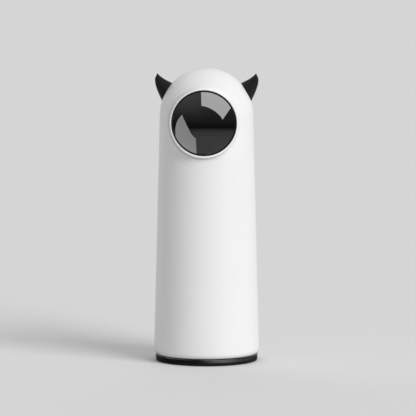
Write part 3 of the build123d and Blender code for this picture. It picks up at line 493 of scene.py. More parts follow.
@dataclass(frozen=True)
class SolderMask(Finish):
    """Green solder mask over copper tracks, with small plated holes."""

    track: float = 1.3 * MM
    track_edges: Place = (0.30, 0.34)
    track_height: float = 0.03 * MM
    wander: Grain = Grain(9 * MM, 0.0, 6 * MM)
    row: float = 17 * MM
    row_gap: float = 0.12
    hole_pitch: float = 3.4 * MM
    hole_edges: Place = (0.1, 0.13)
    plating: Colour = (0.62, 0.55, 0.36)
    copper: Place = (1.7, 0.01)

    def tracks(self, maker: Maker) -> Signal:
        """1 on a copper track, 0 between them.

        Args:
            maker: The material's maker.

        Returns:
            The pattern of the tracks.
        """
        x, _, z = maker.axes()
        bend = self.wander.over(maker) * self.wander.amount
        runs = abs(((x + bend) / self.track) % 1.0 - 0.5)
        return runs.ease(*self.track_edges) * ((z / self.row) % 1.0 > self.row_gap)

    def tint(self, maker: Maker) -> Tint:
        """Lighter green over copper, bright rings at the holes.

        Args:
            maker: The material's maker.

        Returns:
            The colour.
        """
        factor, added = self.copper
        over_copper = tuple(factor * part + added for part in self.colour)
        green = maker.blend(self.tracks(maker), self.colour, over_copper)
        return maker.blend(maker.cells(self.hole_pitch).ease(*self.hole_edges), self.plating, green)

    def normal(self, maker: Maker) -> Link:
        """Tracks stand a little proud."""
        return maker.relief(self.tracks(maker), self.track_height)


@dataclass(frozen=True)
class CellJacket(Finish):
    """Foil jacket of a battery cell: dark with two plain bands and bare ends."""

    middle: float = 41.5 * MM
    half_length: float = 24.3 * MM
    band_edges: Place = (0.55, 0.56)
    speckle: float = 1.5 * MM
    band: Colour = (0.34, 0.35, 0.37)
    film: Colour = (0.9, 0.9, 0.9)
    bare: Colour = (0.6, 0.6, 0.62)

    def tint(self, maker: Maker) -> Tint:
        """Dark foil, paler bands, bare steel at both ends.

        Args:
            maker: The material's maker.

        Returns:
            The colour.
        """
        far = abs(maker.axes()[2] - self.middle)
        band = far.ease(*(edge * self.half_length for edge in self.band_edges))
        foil = maker.blend(band, self.colour, self.band)
        foil = maker.blend(maker.noise(self.speckle, 3.0), self.film, foil)
        return maker.blend(far < self.half_length, self.bare, foil)


RIM_LOW, RIM_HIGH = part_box("eye_bezel")
FINISHES: dict[Slot, Finish] = {
    Slot.SHELL: SatinShell(
        "satin_white",
        (0.86, 0.86, 0.86),
        0.40,
        haze=Grain(14 * MM, 4.0, 0.2),
        eye_height=(RIM_LOW.z + RIM_HIGH.z) / 2,
        ring=RIM_HIGH.x,
        column=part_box("front_shell")[1].x,
    ),
    Slot.HORN: Finish(
        "black_silicone",
        (0.015, 0.015, 0.0155),
        0.5,
        mottle=Grain(3 * MM, 5.0, 1.25, edges=(0.4, 0.75)),
        skin=Grain(0.2 * MM, 3.0, 0.006 * MM),
        constants={"Specular IOR Level": 0.42},
    ),
    Slot.LENS: Finish(
        "smoked_plastic",
        (0.003, 0.003, 0.0033),
        0.02,
        haze=Grain(9 * MM, 4.0, 0.6),
        skin=Grain(12 * MM, 1.0, 0.001 * MM),
        constants={"IOR": 1.62},
    ),
    Slot.GLOSS: GlossBand(
        "gloss_black", (0.004, 0.004, 0.0042), 0.12, skin=Grain(2.5 * MM, 1.0, 0.002 * MM)
    ),
    Slot.PLASTIC: SparkTexture("textured_black", (0.016, 0.016, 0.017), 0.55),
    Slot.RUBBER: Rubber("matte_rubber", (0.010, 0.010, 0.010), 0.6),
    Slot.GEAR: Finish("natural_acetal", (0.74, 0.73, 0.68), 0.38),
    Slot.STEEL: brushed("bright_steel", (0.62, 0.62, 0.63), 0.3, (1, 1, 14)),
    Slot.BRASS: brushed("turned_brass", (0.72, 0.54, 0.26), 0.26, (1, 14, 1)),
    Slot.BOARD: SolderMask("solder_mask", (0.016, 0.13, 0.06), 0.32),
    Slot.CHIP: SparkTexture("moulding_compound", (0.035, 0.035, 0.037), 0.5, grain=0.2 * MM),
    Slot.CELL: CellJacket(
        "cell_jacket", (0.05, 0.055, 0.065), 0.3, constants={"Metallic": 0.8, "Coat Weight": 0.4}
    ),
    Slot.OPTIC: Finish(
        "clear_optic",
        (0.93, 0.94, 0.95),
        0.04,
        skin=Grain(1.5 * MM, 1.0, 0.002 * MM),
        constants={"Transmission Weight": 0.85, "IOR": 1.49},
    ),
}


class Palette:
    """The materials of the finishes, each made once."""

    def __init__(self, finishes: dict[Slot, Finish]) -> None:
        """Builds the material of each slot's finish."""
        self.materials = {slot: finish.build() for slot, finish in finishes.items()}

    def dress(self, piece: Object, slot: Slot) -> None:
        """Gives a piece the finish of a slot as its only material."""
        piece.data.materials.clear()
        piece.data.materials.append(self.materials[slot])

    def dress_frame(self, record: dict[str, Any], nodes: dict[str, Object]) -> None:
        """Dresses every CAD node by its slot in the record.

        Args:
            record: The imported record.
            nodes: The CAD nodes' objects.
        """
        for subpart in record["subparts"]:
            self.dress(nodes[subpart["node"]], Slot(subpart["material_slot"]))
            log.info("dressed %s as %s", subpart["node"], subpart["material_slot"])


# ---- Meshes ----
def placed(name: str, data: ID) -> Object:
    """An object with this data, linked to the scene at the origin.

    Args:
        name: The object's name.
        data: Its mesh, light or camera.

    Returns:
        The object.
    """
    thing = bpy.data.objects.new(name, data)
    bpy.context.scene.collection.objects.link(thing)
    return thing


def facing(azimuth: float, elevation: float) -> Vector:
    """Direction of an azimuth from the front to the right and a rise, both in radians."""
    return Vector((sin(azimuth) * cos(elevation), -cos(azimuth) * cos(elevation), sin(elevation)))


def evenly(start: float, end: float, steps: int) -> list[float]:
    """Numbers from start to end in even steps."""
    return [start + (end - start) * k / steps for k in range(steps + 1)]


def shaped(
    name: str, points: Iterable[Sequence[float]], faces: Iterable[Sequence[int]], edge: float = 180.0
) -> Object:
    """Makes a smooth mesh object at the origin, its faces outwards.

    Args:
        name: The object's name.
        points: Its points, in metres.
        faces: Its faces, as point numbers.
        edge: Folds sharper than this many degrees stay crisp.

    Returns:
        The object.
    """
    mesh = bpy.data.meshes.new(name)
    mesh.from_pydata([tuple(point) for point in points], [], [tuple(face) for face in faces])
    work = bmesh.new()
    work.from_mesh(mesh)
    bmesh.ops.remove_doubles(work, verts=work.verts, dist=1e-7)
    bmesh.ops.recalc_face_normals(work, faces=work.faces)
    for face in work.faces:
        face.smooth = True
    work.to_mesh(mesh)
    work.free()
    if edge < 180.0:
        mesh.set_sharp_from_angle(angle=radians(edge))
    return placed(name, mesh)


def loops_joined(count: int, rings: int, closed: bool = True) -> list[tuple[int, ...]]:
    """Faces between rings of points.

    Args:
        count: Points in each ring.
        rings: How many rings there are.
        closed: Whether each ring closes on itself.

    Returns:
        The faces.
    """
    faces = []
    for low in range(0, (rings - 1) * count, count):
        for k in range(count if closed else count - 1):
            after = (k + 1) % count
            faces.append((low + k, low + after, low + count + after, low + count + k))
    return faces


def turned(
    name: str, profile: Sequence[Place], edge: float, at: Callable[[float, float, float], Sequence[float]]
) -> Object:
    """Turns a profile about an axis.

    Args:
        name: The object's name.
        profile: Its radii and places along the axis.
        edge: Folds sharper than this many degrees stay crisp.
        at: Gives the point for two distances across the axis and one along it.

    Returns:
        The object.
    """
    turns = [tau * k / AROUND for k in range(AROUND)]
    points = [
        at(radius * cos(turn), radius * sin(turn), along) for radius, along in profile for turn in turns
    ]
    return shaped(name, points, loops_joined(AROUND, len(profile)), edge)


def arc(centre: Place, radius: float, start: float, end: float, steps: int) -> list[Place]:
    """Points of an arc between two angles, in degrees from the profile's first axis."""
    angles = [radians(angle) for angle in evenly(start, end, steps)]
    return [(centre[0] + radius * cos(angle), centre[1] + radius * sin(angle)) for angle in angles]


def through(values: Sequence[float], share: float) -> float:
    """Smooth curve through evenly spaced values.

    Args:
        values: The values it passes through.
        share: How far along it is, from 0 to 1.

    Returns:
        Its value there.
    """
    place = share * (len(values) - 1)
    first = min(int(place), len(values) - 2)
    t = place - first
    before, a = values[max(first - 1, 0)], values[first]
    b, after = values[first + 1], values[min(first + 2, len(values) - 1)]
    bend = (2 * before - 5 * a + 4 * b - after) * t * t + (3 * a - before - 3 * b + after) * t**3
    return a + 0.5 * ((b - before) * t + bend)


@dataclass
class Assembly:
    """A sub-assembly whose pieces ride on the housing."""

    palette: Palette

    def finish(self, piece: Object, slot: Slot, *nodes: str) -> Object:
        """Dresses a finished piece and fixes it to the housing.

        Args:
            piece: The piece.
            slot: The slot whose finish it has.
            nodes: The CAD nodes that it replaces.

        Returns:
            The piece.
        """
        self.palette.dress(piece, slot)
        if nodes:
            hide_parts(*nodes)
        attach(piece, Body.HOUSING.value)
        log.info("made %s", piece.name)
        return piece


# ---- Eye ----
@dataclass
class Eye(Assembly):
    """The domed lens, turned about an axis that points to the front."""

    turning_centre: float = 8.4 * MM
    flange: float = 0.7 * MM
    flange_thickness: float = 1.6 * MM
    wall: float = 1.8 * MM
    edge_round: float = 1.2 * MM

    def build(self) -> None:
        """Makes the lens."""
        low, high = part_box("eye_lens")
        height = (low.z + high.z) / 2
        lens = turned("polished_lens", self.profile(), 60, lambda x, up, depth: (x, -depth, height + up))
        self.finish(lens, Slot.LENS, "eye_lens")

    def profile(self) -> list[Place]:
        """Outline of the lens as radius and distance in front of the column's axis.

        Returns:
            The outline's points.
        """
        low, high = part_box("eye_lens")
        centre, seat = self.turning_centre, -high.y
        rim, sphere = high.x - self.flange, -low.y - centre
        hub_radius, hub_reach = rim - self.edge_round, sphere - self.edge_round
        hub = (hub_radius, centre + sqrt(hub_reach**2 - hub_radius**2))
        tilt = degrees(asin(hub_radius / hub_reach))
        inner, inner_rim = sphere - self.wall, rim - self.wall
        inner_tilt = degrees(asin(inner_rim / inner))
        return [
            *arc((0, centre), sphere, 90, 90 - tilt, 60),
            *arc(hub, self.edge_round, 90 - tilt, 0, 16)[1:],
            (rim, seat + self.flange_thickness),
            (high.x, seat + self.flange_thickness),
            (high.x, seat),
            (inner_rim, seat),
            *arc((0, centre), inner, 90 - inner_tilt, 90, 40),
        ]


# ---- Horns ----
@dataclass(frozen=True)
class Station:
    """A cross section of the horn: its two edges, off the dome's centre, and its half thickness."""

    outer: Place
    inner: Place
    half: float
    crease: float


@dataclass
class Horns(Assembly):
    """Two curved silicone horns with a soft ridge down the front, pressed onto the dome."""

    dome_radius: float = 34.6
    tip_round: float = 0.55
    around: int = 56
    along: int = 60
    tip_steps: int = 6
    stations: Sequence[Station] = (
        Station((32.3, 9.0), (23.9, 22.9), 5.8, 1.9),
        Station((34.2, 12.9), (26.8, 24.3), 5.2, 1.55),
        Station((35.9, 16.7), (29.1, 25.4), 4.4, 1.35),
        Station((37.2, 20.4), (31.3, 26.6), 3.5, 1.3),
        Station((38.1, 24.1), (33.3, 28.0), 2.6, 1.3),
        Station((38.1, 27.2), (34.9, 29.2), 1.6, 1.4),
        Station((36.9, 29.7), (35.9, 30.3), 0.6, 1.8),
    )

    def build(self) -> None:
        """Makes both horns."""
        for side, name in ((1, "right_horn"), (-1, "left_horn")):
            piece = self.horn("sculpted_" + name, side)
            self.finish(piece, Slot.HORN, name)

    def section(self, share: float, swell: float, lift: float) -> list[Vector]:
        """One ring of the horn.

        Args:
            share: How far along the horn it is, from 0 to 1.
            swell: How large it is, as a share of the section there.
            lift: How far past the section it stands, in millimetres.

        Returns:
            Its points, off the dome's centre in millimetres.
        """
        sections = [(*one.outer, *one.inner, one.half, one.crease) for one in self.stations]
        out_x, out_z, in_x, in_z, half, crease = [through(sizes, share) for sizes in zip(*sections)]
        outer, inner = Vector((out_x, 0, out_z)), Vector((in_x, 0, in_z))
        middle, reach = (outer + inner) / 2, (outer - inner) / 2
        onward = Vector((-reach.z, 0, reach.x)).normalized()
        ring = []
        for k in range(self.around):
            c, s = cos(tau * k / self.around), sin(tau * k / self.around)
            size = swell * (abs(c) ** crease + abs(s) ** crease) ** (-1 / crease)
            ring.append(middle + onward * lift + reach * c * size + Vector((0, half * s * size, 0)))
        return ring

    def horn(self, name: str, side: int) -> Object:
        """Makes one horn.

        Args:
            name: Its name.
            side: 1 for the right one, -1 for the left one.

        Returns:
            The horn.
        """
        rings = [self.section(share, 1.0, 0.0) for share in evenly(0.0, 1.0, self.along)]
        for step in range(1, self.tip_steps + 1):
            turn = pi / 2 * step / self.tip_steps
            rings.append(self.section(1.0, cos(turn), self.tip_round * sin(turn)))
        rings.insert(0, self.section(0.0, 0.0, 0.0))
        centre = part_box("front_shell")[1].z - self.dome_radius * MM
        points = [
            (side * point.x * MM, point.y * MM, centre + point.z * MM) for ring in rings for point in ring
        ]
        return shaped(name, points, loops_joined(self.around, len(rings)), 75)


# ---- Foot ----
@dataclass
class Foot(Assembly):
    """Rubber foot with fine grooves in its sole."""

    width: float = 6.0 * MM
    outer_round: float = 0.8 * MM
    grooves: int = 3
    groove_width: float = 0.7 * MM
    groove_depth: float = 0.4 * MM

    def build(self) -> None:
        """Makes the foot."""
        low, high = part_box("rubber_foot")
        outer, inner, top = high.x, high.x - self.width, high.z
        soft = self.outer_round
        profile = [(inner, top), (inner, low.z), *self.sole(inner, outer - soft)]
        profile += [*arc((outer - soft, soft), soft, -90, 0, 8), (outer, top), (inner, top)]
        piece = turned("grooved_foot", profile, 35, lambda x, y, height: (x, y, height))
        self.finish(piece, Slot.RUBBER, "rubber_foot")

    def sole(self, inner: float, outer: float) -> list[Place]:
        """Profile of the grooves between two radii.

        Args:
            inner: The inner radius.
            outer: The outer radius.

        Returns:
            The profile's points.
        """
        profile = []
        pitch = (outer - inner) / (self.grooves + 1)
        for k in range(1, self.grooves + 1):
            start = inner + k * pitch - self.groove_width / 2
            end = start + self.groove_width
            profile += [(start, 0.0), (start, self.groove_depth), (end, self.groove_depth), (end, 0.0)]
        return profile


# ---- Repeated pieces ----
@dataclass
class Repeated(Assembly):
    """Steel pieces that Geometry Nodes set out on points, each turned towards a direction."""

    def start(self, name: str, sizes: dict[str, float]) -> None:
        """Starts the tree of one shape.

        Args:
            name: The tree's name.
            sizes: Its inputs, by name.
        """
        tree = bpy.data.node_groups.new(name, "GeometryNodeTree")
        kinds = {"Geometry": "Geometry", **dict.fromkeys(sizes, "Float"), "Material": "Material"}
        for label, kind in kinds.items():
            tree.interface.new_socket(label, in_out="INPUT", socket_type="NodeSocket" + kind)
        tree.interface.new_socket("Geometry", in_out="OUTPUT", socket_type="NodeSocketGeometry")
        self.maker, self.sizes = Maker(tree), sizes
        self.inputs = self.maker.add("NodeGroupInput", {}, {}).outputs

    def size(self, name: str) -> Signal:
        """One of the tree's inputs."""
        return Signal(self.maker, self.inputs[name])

    def vector(self, *parts: Number) -> Node:
        """A vector of three numbers."""
        return self.maker.add("ShaderNodeCombineXYZ", {}, dict(enumerate(parts)))

    def set_out(self, shape: Node) -> None:
        """Ends the tree: the shape on every point, turned along the point's direction.

        Args:
            shape: The node that gives the shape.
        """
        add, kind = self.maker.add, {"data_type": "FLOAT_VECTOR"}
        towards = add("GeometryNodeInputNamedAttribute", kind, {"Name": "towards"})
        turn = add("FunctionNodeAlignRotationToVector", {"axis": "Z"}, {"Vector": towards})
        values = {"Points": self.inputs["Geometry"], "Instance": shape, "Rotation": turn}
        real = add("GeometryNodeRealizeInstances", {}, {0: add("GeometryNodeInstanceOnPoints", {}, values)})
        values = {"Geometry": real, "Material": self.inputs["Material"]}
        add("NodeGroupOutput", {}, {0: add("GeometryNodeSetMaterial", {}, values)})

    def grow(self, name: str, spots: Spots, *nodes: str) -> None:
        """Runs the tree on points, keeps the result as a plain mesh and fixes it to the housing.

        Args:
            name: The piece's name.
            spots: The points and the directions that the shapes turn to.
            nodes: The CAD nodes that it replaces.
        """
        mesh = bpy.data.meshes.new(name + "_points")
        mesh.from_pydata([tuple(point) for point, _ in spots], [], [])
        towards = mesh.attributes.new("towards", "FLOAT_VECTOR", "POINT")
        for k, (_, direction) in enumerate(spots):
            towards.data[k].vector = direction
        carrier = placed(name + "_points", mesh)
        modifier = carrier.modifiers.new("repeat", "NODES")
        modifier.node_group = self.maker.tree
        values: dict[str, Any] = {**self.sizes, "Material": self.palette.materials[Slot.STEEL]}
        for item in self.maker.tree.interface.items_tree:
            if item.in_out == "INPUT" and item.name in values:
                modifier[item.identifier] = values[item.name]
        graph = bpy.context.evaluated_depsgraph_get()
        plain = bpy.data.meshes.new_from_object(carrier.evaluated_get(graph))
        bpy.data.objects.remove(carrier)
        plain.name = name
        self.finish(placed(name, plain), Slot.STEEL, *nodes)


@dataclass
class Screws(Repeated):
    """Threaded pan head screws with a cross recess."""

    radius: float = 1.2 * MM
    length: float = 10.0 * MM
    head_radius: float = 2.5 * MM
    head_height: float = 1.6 * MM
    pitch: float = 0.8 * MM
    core: float = 0.8
    thread_share: float = 0.45
    slot_width: float = 0.6 * MM
    slot_depth: float = 0.8 * MM
    frame_angles: Sequence[float] = (-142.0, -38.0, 45.0, 135.0)

    def build(self) -> None:
        """Makes the base, frame and board screws."""
        sizes = {
            "Radius": self.radius,
            "Length": self.length,
            "Head Radius": self.head_radius,
            "Head Height": self.head_height,
            "Slot Width": self.slot_width,
            "Slot Depth": self.slot_depth,
        }
        self.start("threaded_screw", sizes)
        self.set_out(self.shape())
        for name, spots in (
            ("base_screws", self.base_spots()),
            ("frame_screws", self.frame_spots()),
            ("board_screws", self.board_spots()),
        ):
            self.grow("threaded_" + name, spots, name)

    def shape(self) -> Node:
        """One screw along Z, its head's seat at 0.

        Returns:
            The node that gives the screw.
        """
        add, core, length = self.maker.add, self.size("Radius") * self.core, self.size("Length")
        values = {"Vertices": 20, "Radius": core, "Depth": length}
        body = self.moved(add("GeometryNodeMeshCylinder", {}, values), length * -0.5)
        values = {
            "Resolution": 14,
            "Rotations": (self.length - self.pitch) / self.pitch,
            "Start Radius": core,
            "End Radius": core,
            "Height": length - self.pitch,
        }
        spiral = add("GeometryNodeCurveSpiral", {}, values)
        values = {"Resolution": 3, "Radius": self.pitch * self.thread_share / 2}
        ridge = add("GeometryNodeCurvePrimitiveCircle", {}, values)
        values = {"Curve": spiral, "Profile Curve": ridge, "Fill Caps": True}
        thread = self.moved(add("GeometryNodeCurveToMesh", {}, values), length * -1.0)
        return add("GeometryNodeJoinGeometry", {}, {0: [body, thread, self.head()]})

    def head(self) -> Node:
        """Domed head with a cross recess.

        Returns:
            The node that gives the head.
        """
        names = ("Head Radius", "Head Height", "Slot Width", "Slot Depth")
        radius, height, width, depth = [self.size(name) for name in names]
        ball = self.maker.add("GeometryNodeMeshUVSphere", {}, {"Segments": 40, "Rings": 20, "Radius": 1.0})
        values = {"Geometry": ball, "Scale": self.vector(radius, radius, height)}
        dome = self.maker.add("GeometryNodeTransform", {}, values)
        tools = [
            self.bar((radius * 3, radius * 3, height * 2), height * -1.0),
            self.bar((radius * 1.2, width, depth * 2), height),
            self.bar((width, radius * 1.2, depth * 2), height),
        ]
        values = {"Mesh 1": dome, "Mesh 2": tools}
        return self.maker.add("GeometryNodeMeshBoolean", {"operation": "DIFFERENCE"}, values)

    def bar(self, sides: Sequence[Number], middle: Number) -> Node:
        """A block on the axis, with its middle at a height."""
        block = self.maker.add("GeometryNodeMeshCube", {}, {"Size": self.vector(*sides)})
        return self.moved(block, middle)

    def moved(self, shape: Node, rise: Number) -> Node:
        """A shape moved along Z."""
        values = {"Geometry": shape, "Translation": self.vector(0, 0, rise)}
        return self.maker.add("GeometryNodeTransform", {}, values)

    def base_spots(self) -> Spots:
        """Places of the screws under the chassis.

        Returns:
            Their seats, and where their heads point.
        """
        low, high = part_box("base_screws")
        across, seat = high.x - self.head_radius, low.z + self.head_height
        return [(Vector((sx * across, sy * across, seat)), -UP) for sx in (-1, 1) for sy in (-1, 1)]

    def frame_spots(self) -> Spots:
        """Places of the screws on the mechanism frame.

        Returns:
            Their seats, and where their heads point.
        """
        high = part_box("frame_screws")[1]
        reach = (high.x - self.head_radius) / cos(radians(self.frame_angles[1]))
        seat, turns = high.z - self.head_height, [radians(angle) for angle in self.frame_angles]
        return [(Vector((reach * cos(turn), reach * sin(turn), seat)), UP) for turn in turns]

    def board_spots(self) -> Spots:
        """Places of the screws on the main board.

        Returns:
            Their seats, and where their heads point.
        """
        low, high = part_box("board_screws")
        seat, edge = low.y + self.head_height, self.head_radius
        heights = (low.z + edge, high.z - edge)
        return [(Vector((sx * (high.x - edge), seat, z)), FRONT) for sx in (-1, 1) for z in heights]


@dataclass
class SolderJoints(Repeated):
    """Solder cones with pin ends on the front face of the main board."""

    foot_radius: float = 0.75 * MM
    tip_radius: float = 0.28 * MM
    height: float = 0.7 * MM
    pin_pitch: float = 2.0 * MM
    pins: int = 3
    rows: Sequence[tuple[float, float]] = ((-7.5, 0.896), (7.5, 0.896), (-7.5, 0.304))
    leg_rows: Sequence[tuple[float, float]] = ((-2.2, 0.808), (2.2, 0.808), (-2.2, 0.856), (2.2, 0.856))
    can_rows: Sequence[tuple[float, float]] = ((5.8, 0.368), (8.2, 0.368))

    def build(self) -> None:
        """Makes all joints as one piece."""
        sizes = {"Foot Radius": self.foot_radius, "Tip Radius": self.tip_radius, "Height": self.height}
        self.start("solder_joint", sizes)
        values = {
            "Vertices": 16,
            "Radius Bottom": self.inputs["Foot Radius"],
            "Radius Top": self.inputs["Tip Radius"],
            "Depth": self.inputs["Height"],
        }
        self.set_out(self.maker.add("GeometryNodeMeshCone", {}, values))
        self.grow("solder_joints", self.spots())

    def spots(self) -> Spots:
        """Places of the joints, from the board's box.

        Returns:
            The joints' middles, and where they point.
        """
        low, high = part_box("main_board")
        places = [
            (side * MM + (k - (self.pins - 1) / 2) * self.pin_pitch, share)
            for side, share in self.rows
            for k in range(self.pins)
        ]
        places += [(side * MM, share) for side, share in (*self.leg_rows, *self.can_rows)]
        length = high.z - low.z
        return [(Vector((x, low.y, low.z + share * length)), FRONT) for x, share in places]


@dataclass
class ChipLegs(Repeated):
    """Legs, as straight blocks, along both sides of the two chips on the main board."""

    width: float = 0.4 * MM
    reach: float = 0.9 * MM
    thickness: float = 0.2 * MM
    pitch: float = 1.25 * MM
    chips: Sequence[tuple[float, float, float, int]] = ((0.0, 3.0, 0.488, 7), (0.0, 2.5, 0.612, 4))

    def build(self) -> None:
        """Makes all legs as one piece."""
        sizes = {"Width": self.width, "Reach": self.reach, "Thickness": self.thickness}
        self.start("chip_leg", sizes)
        block = self.vector(self.size("Thickness"), self.size("Width"), self.size("Reach"))
        self.set_out(self.maker.add("GeometryNodeMeshCube", {}, {"Size": block}))
        self.grow("chip_legs", self.spots())

    def spots(self) -> Spots:
        """Places of the legs, from the board's box.

        Returns:
            The legs' middles, and where they point.
        """
        low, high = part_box("main_board")
        found = []
        for middle, half, share, count in self.chips:
            height = low.z + share * (high.z - low.z)
            for side in (-1, 1):
                out = middle * MM + side * (half * MM + self.reach / 2)
                for k in range(count):
                    z = height + (k - (count - 1) / 2) * self.pitch
                    found.append((Vector((out, high.y + self.thickness / 2, z)), Vector((side, 0, 0))))
        return found


# ---- Studio ----
@dataclass(frozen=True)
class Sun:
    """A far soft light."""

    name: str
    strength: float
    azimuth: float
    elevation: float
    spread: float

    def build(self) -> None:
        """Adds the light, unseen in reflections."""
        data = bpy.data.lights.new(self.name, "SUN")
        data.energy = self.strength
        data.angle = radians(self.spread)
        lamp = placed(self.name, data)
        towards = facing(radians(self.azimuth), radians(self.elevation))
        lamp.rotation_euler = towards.to_track_quat("Z", "Y").to_euler()
        lamp.visible_glossy = False


@dataclass(frozen=True)
class Softbox:
    """A softbox, drawn as the lens mirrors it: angles round the eye, radii in millimetres."""

    name: str
    level: float
    inner: Sequence[Place]
    outer: Sequence[Place]
    wrap_from: float
    wrap_over: float = 0.1
    far: float = 100.0
    steps: int = 48
    spans: int = 12
    wraps: int = 10


@dataclass
class Studio:
    """Floor, light, the cards that the glossy pieces reflect, and the camera."""

    camera_distance: float = 2.0
    camera_height: float = 0.2811
    camera_azimuth: float = 3.07
    camera_pitch: float = 4.806
    camera_turn: float = 0.0285
    lens: float = 234.7
    floor_reach: float = 45.0
    floor_colour: float = 0.78
    world_fill: float = 0.35
    world_shown: float = 0.62
    suns: Sequence[Sun] = (
        Sun("key", 2.05, 48.0, 29.0, 36.0),
        Sun("top", 0.36, 0.0, 85.0, 70.0),
        Sun("back", 0.5, 190.0, 30.0, 60.0),
    )
    card_reach: float = 0.95
    card_drop: float = 0.9
    level_slope: float = 0.01
    screen_reach: float = 1.3
    screen_half: float = 110.0
    screen_steps: tuple[int, int] = (24, 40)
    screen_glow: tuple[float, float, float] = (0.05, 0.07, 0.62)
    screen_low: Place = (0.02, 0.22)
    screen_high: Place = (0.10, 1.15)
    screen_sides: Place = (-0.9, 0.7)
    screen_side_glow: Place = (1.15, 0.9)
    apron_half: float = 115.0
    apron_steps: int = 64
    far_flag: tuple[float, float] = (0.32, 0.002)
    far_fade: tuple[float, float] = (0.28, 0.95)
    far_glow: tuple[float, float] = (0.6, 0.57)
    near_flag: tuple[float, float] = (0.084, 0.0005)
    near_fade: float = 0.068
    near_gap: float = 0.3 * MM
    near_side: float = 28.0
    near_glow: tuple[float, float, float] = (0.06, 1.9, 0.55)
    near_peak: tuple[Place, Place] = ((-0.55, -0.05), (0.05, 0.6))
    near_broad: tuple[Place, Place] = ((-0.75, -0.2), (0.6, 0.98))
    softboxes: Sequence[Softbox] = (
        Softbox(
            "upper_softbox",
            6.4,
            ((97.7, 12.8), (69.0, 11.8), (40.0, 12.2), (11.7, 13.9)),
            ((95.2, 22.0), (74.0, 22.0), (52.0, 22.0), (29.5, 22.0)),
            wrap_from=-0.1,
        ),
        Softbox(
            "lower_softbox",
            3.7,
            ((158.0, 16.9), (176.7, 13.4), (202.5, 11.7), (242.0, 12.4)),
            ((158.0, 16.9), (183.0, 20.2), (208.0, 22.0), (256.0, 22.0)),
            wrap_from=0.6,
        ),
    )
    mirrors: Collection = field(default_factory=lambda: bpy.data.collections.new("mirrors"))
    eye: Vector = field(default_factory=Vector)
    eye_sphere: float = 0.0
    rim_plane: float = 0.0

    def build(self) -> None:
        """Sets up the whole studio."""
        low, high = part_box("eye_lens")
        self.eye = Vector((0, -Eye.turning_centre, (low.z + high.z) / 2))
        self.eye_sphere = self.eye.y - low.y
        self.rim_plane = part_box("eye_bezel")[0].y
        bpy.context.scene.view_settings.view_transform = "Standard"
        self.make_camera()
        self.make_floor()
        self.make_world()
        for sun in self.suns:
            sun.build()
        self.make_screen()
        self.make_far_floor()
        self.make_near_floor()
        for softbox in self.softboxes:
            self.make_softbox(softbox)

    def show_to(self, slots: Sequence[Slot]) -> None:
        """Lets the cards shine on every piece with one of these finishes.

        Args:
            slots: The finishes' slots.
        """
        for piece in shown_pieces():
            if any(piece.data.materials[0].name == FINISHES[slot].name for slot in slots):
                self.mirrors.objects.link(piece)

    def viewpoint(self) -> Vector:
        """Where the camera stands."""
        level = facing(radians(self.camera_azimuth), 0.0) * self.camera_distance
        return level + UP * self.camera_height

    def make_camera(self) -> None:
        """Long lens, a little above the toy and to its left side."""
        data = bpy.data.cameras.new("camera")
        data.lens = self.lens
        data.sensor_width = 36.0
        data.clip_end = 200.0
        camera = placed("camera", data)
        camera.location = self.viewpoint()
        turn = radians(self.camera_azimuth - self.camera_turn)
        camera.rotation_euler = (pi / 2 - radians(self.camera_pitch), 0, turn)
        bpy.context.scene.camera = camera

    def make_floor(self) -> None:
        """Pale matte floor that reaches the horizon."""
        reach = self.floor_reach
        corners = [(-reach, -reach, 0), (reach, -reach, 0), (reach, reach, 0), (-reach, reach, 0)]
        floor = shaped("floor", corners, [(0, 1, 2, 3)])
        maker, material = Maker.material("pale_floor")
        tone = self.floor_colour
        shade = maker.blend(maker.noise(0.25, 3.0), (tone,) * 3, (0.985 * tone,) * 3)
        values = {"Base Color": shade, "Roughness": 0.85, "Specular IOR Level": 0.0}
        maker.end(maker.add("ShaderNodeBsdfPrincipled", {}, values))
        floor.data.materials.append(material)
        floor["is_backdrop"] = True

    def make_world(self) -> None:
        """Even soft light, shown a little brighter than it shines."""
        world = bpy.data.worlds.new("studio")
        world.use_nodes = True
        bpy.context.scene.world = world
        maker = Maker(world.node_tree)
        path = maker.add("ShaderNodeLightPath", {}, {}).outputs
        seen = Signal(maker, path["Is Camera Ray"]) + Signal(maker, path["Is Glossy Ray"])
        seen = (seen + Signal(maker, path["Is Transmission Ray"])).at_most(1.0)
        level = self.world_fill + seen * (self.world_shown - self.world_fill)
        values = {"Color": (1, 1, 1, 1), "Strength": level}
        maker.end(maker.add("ShaderNodeBackground", {}, values), "World")

    def mirrored(self, across: float, up: float) -> tuple[Vector, Vector]:
        """Mirrors the camera's view of one place of the eye in the lens.

        Args:
            across: How far right of the eye's middle the place is, in the plane of the rim.
            up: How far above the middle it is.

        Returns:
            Where the lens mirrors the view, and in which direction.
        """
        seen = Vector((across, self.rim_plane, self.eye.z + up))
        start = self.viewpoint() - self.eye
        sight = (seen - self.viewpoint()).normalized()
        along = sight.dot(start)
        reach = -along - sqrt(along**2 - start.length_squared + self.eye_sphere**2)
        normal = (start + reach * sight).normalized()
        return self.eye + normal * self.eye_sphere, sight - 2 * sight.dot(normal) * normal

    def card(self, name: str, rows: Sequence[Sequence[Vector]]) -> Maker:
        """Makes a card that shines only on the glossy black pieces, with an empty material.

        Args:
            name: The card's name.
            rows: Its points, row by row.

        Returns:
            Its material's maker.
        """
        points = [point for row in rows for point in row]
        card = shaped(name, points, loops_joined(len(rows[0]), len(rows), closed=False))
        for ray in ("camera", "diffuse", "transmission", "shadow"):
            setattr(card, "visible_" + ray, False)
        maker, material = Maker.material(name)
        card.data.materials.append(material)
        card.light_linking.receiver_collection = self.mirrors
        card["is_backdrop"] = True
        return maker

    @staticmethod
    def glow(maker: Maker, level: Number) -> None:
        """Ends a card's material with a glow of this radiance."""
        maker.end(maker.add("ShaderNodeEmission", {}, {"Color": (1, 1, 1, 1), "Strength": level}))

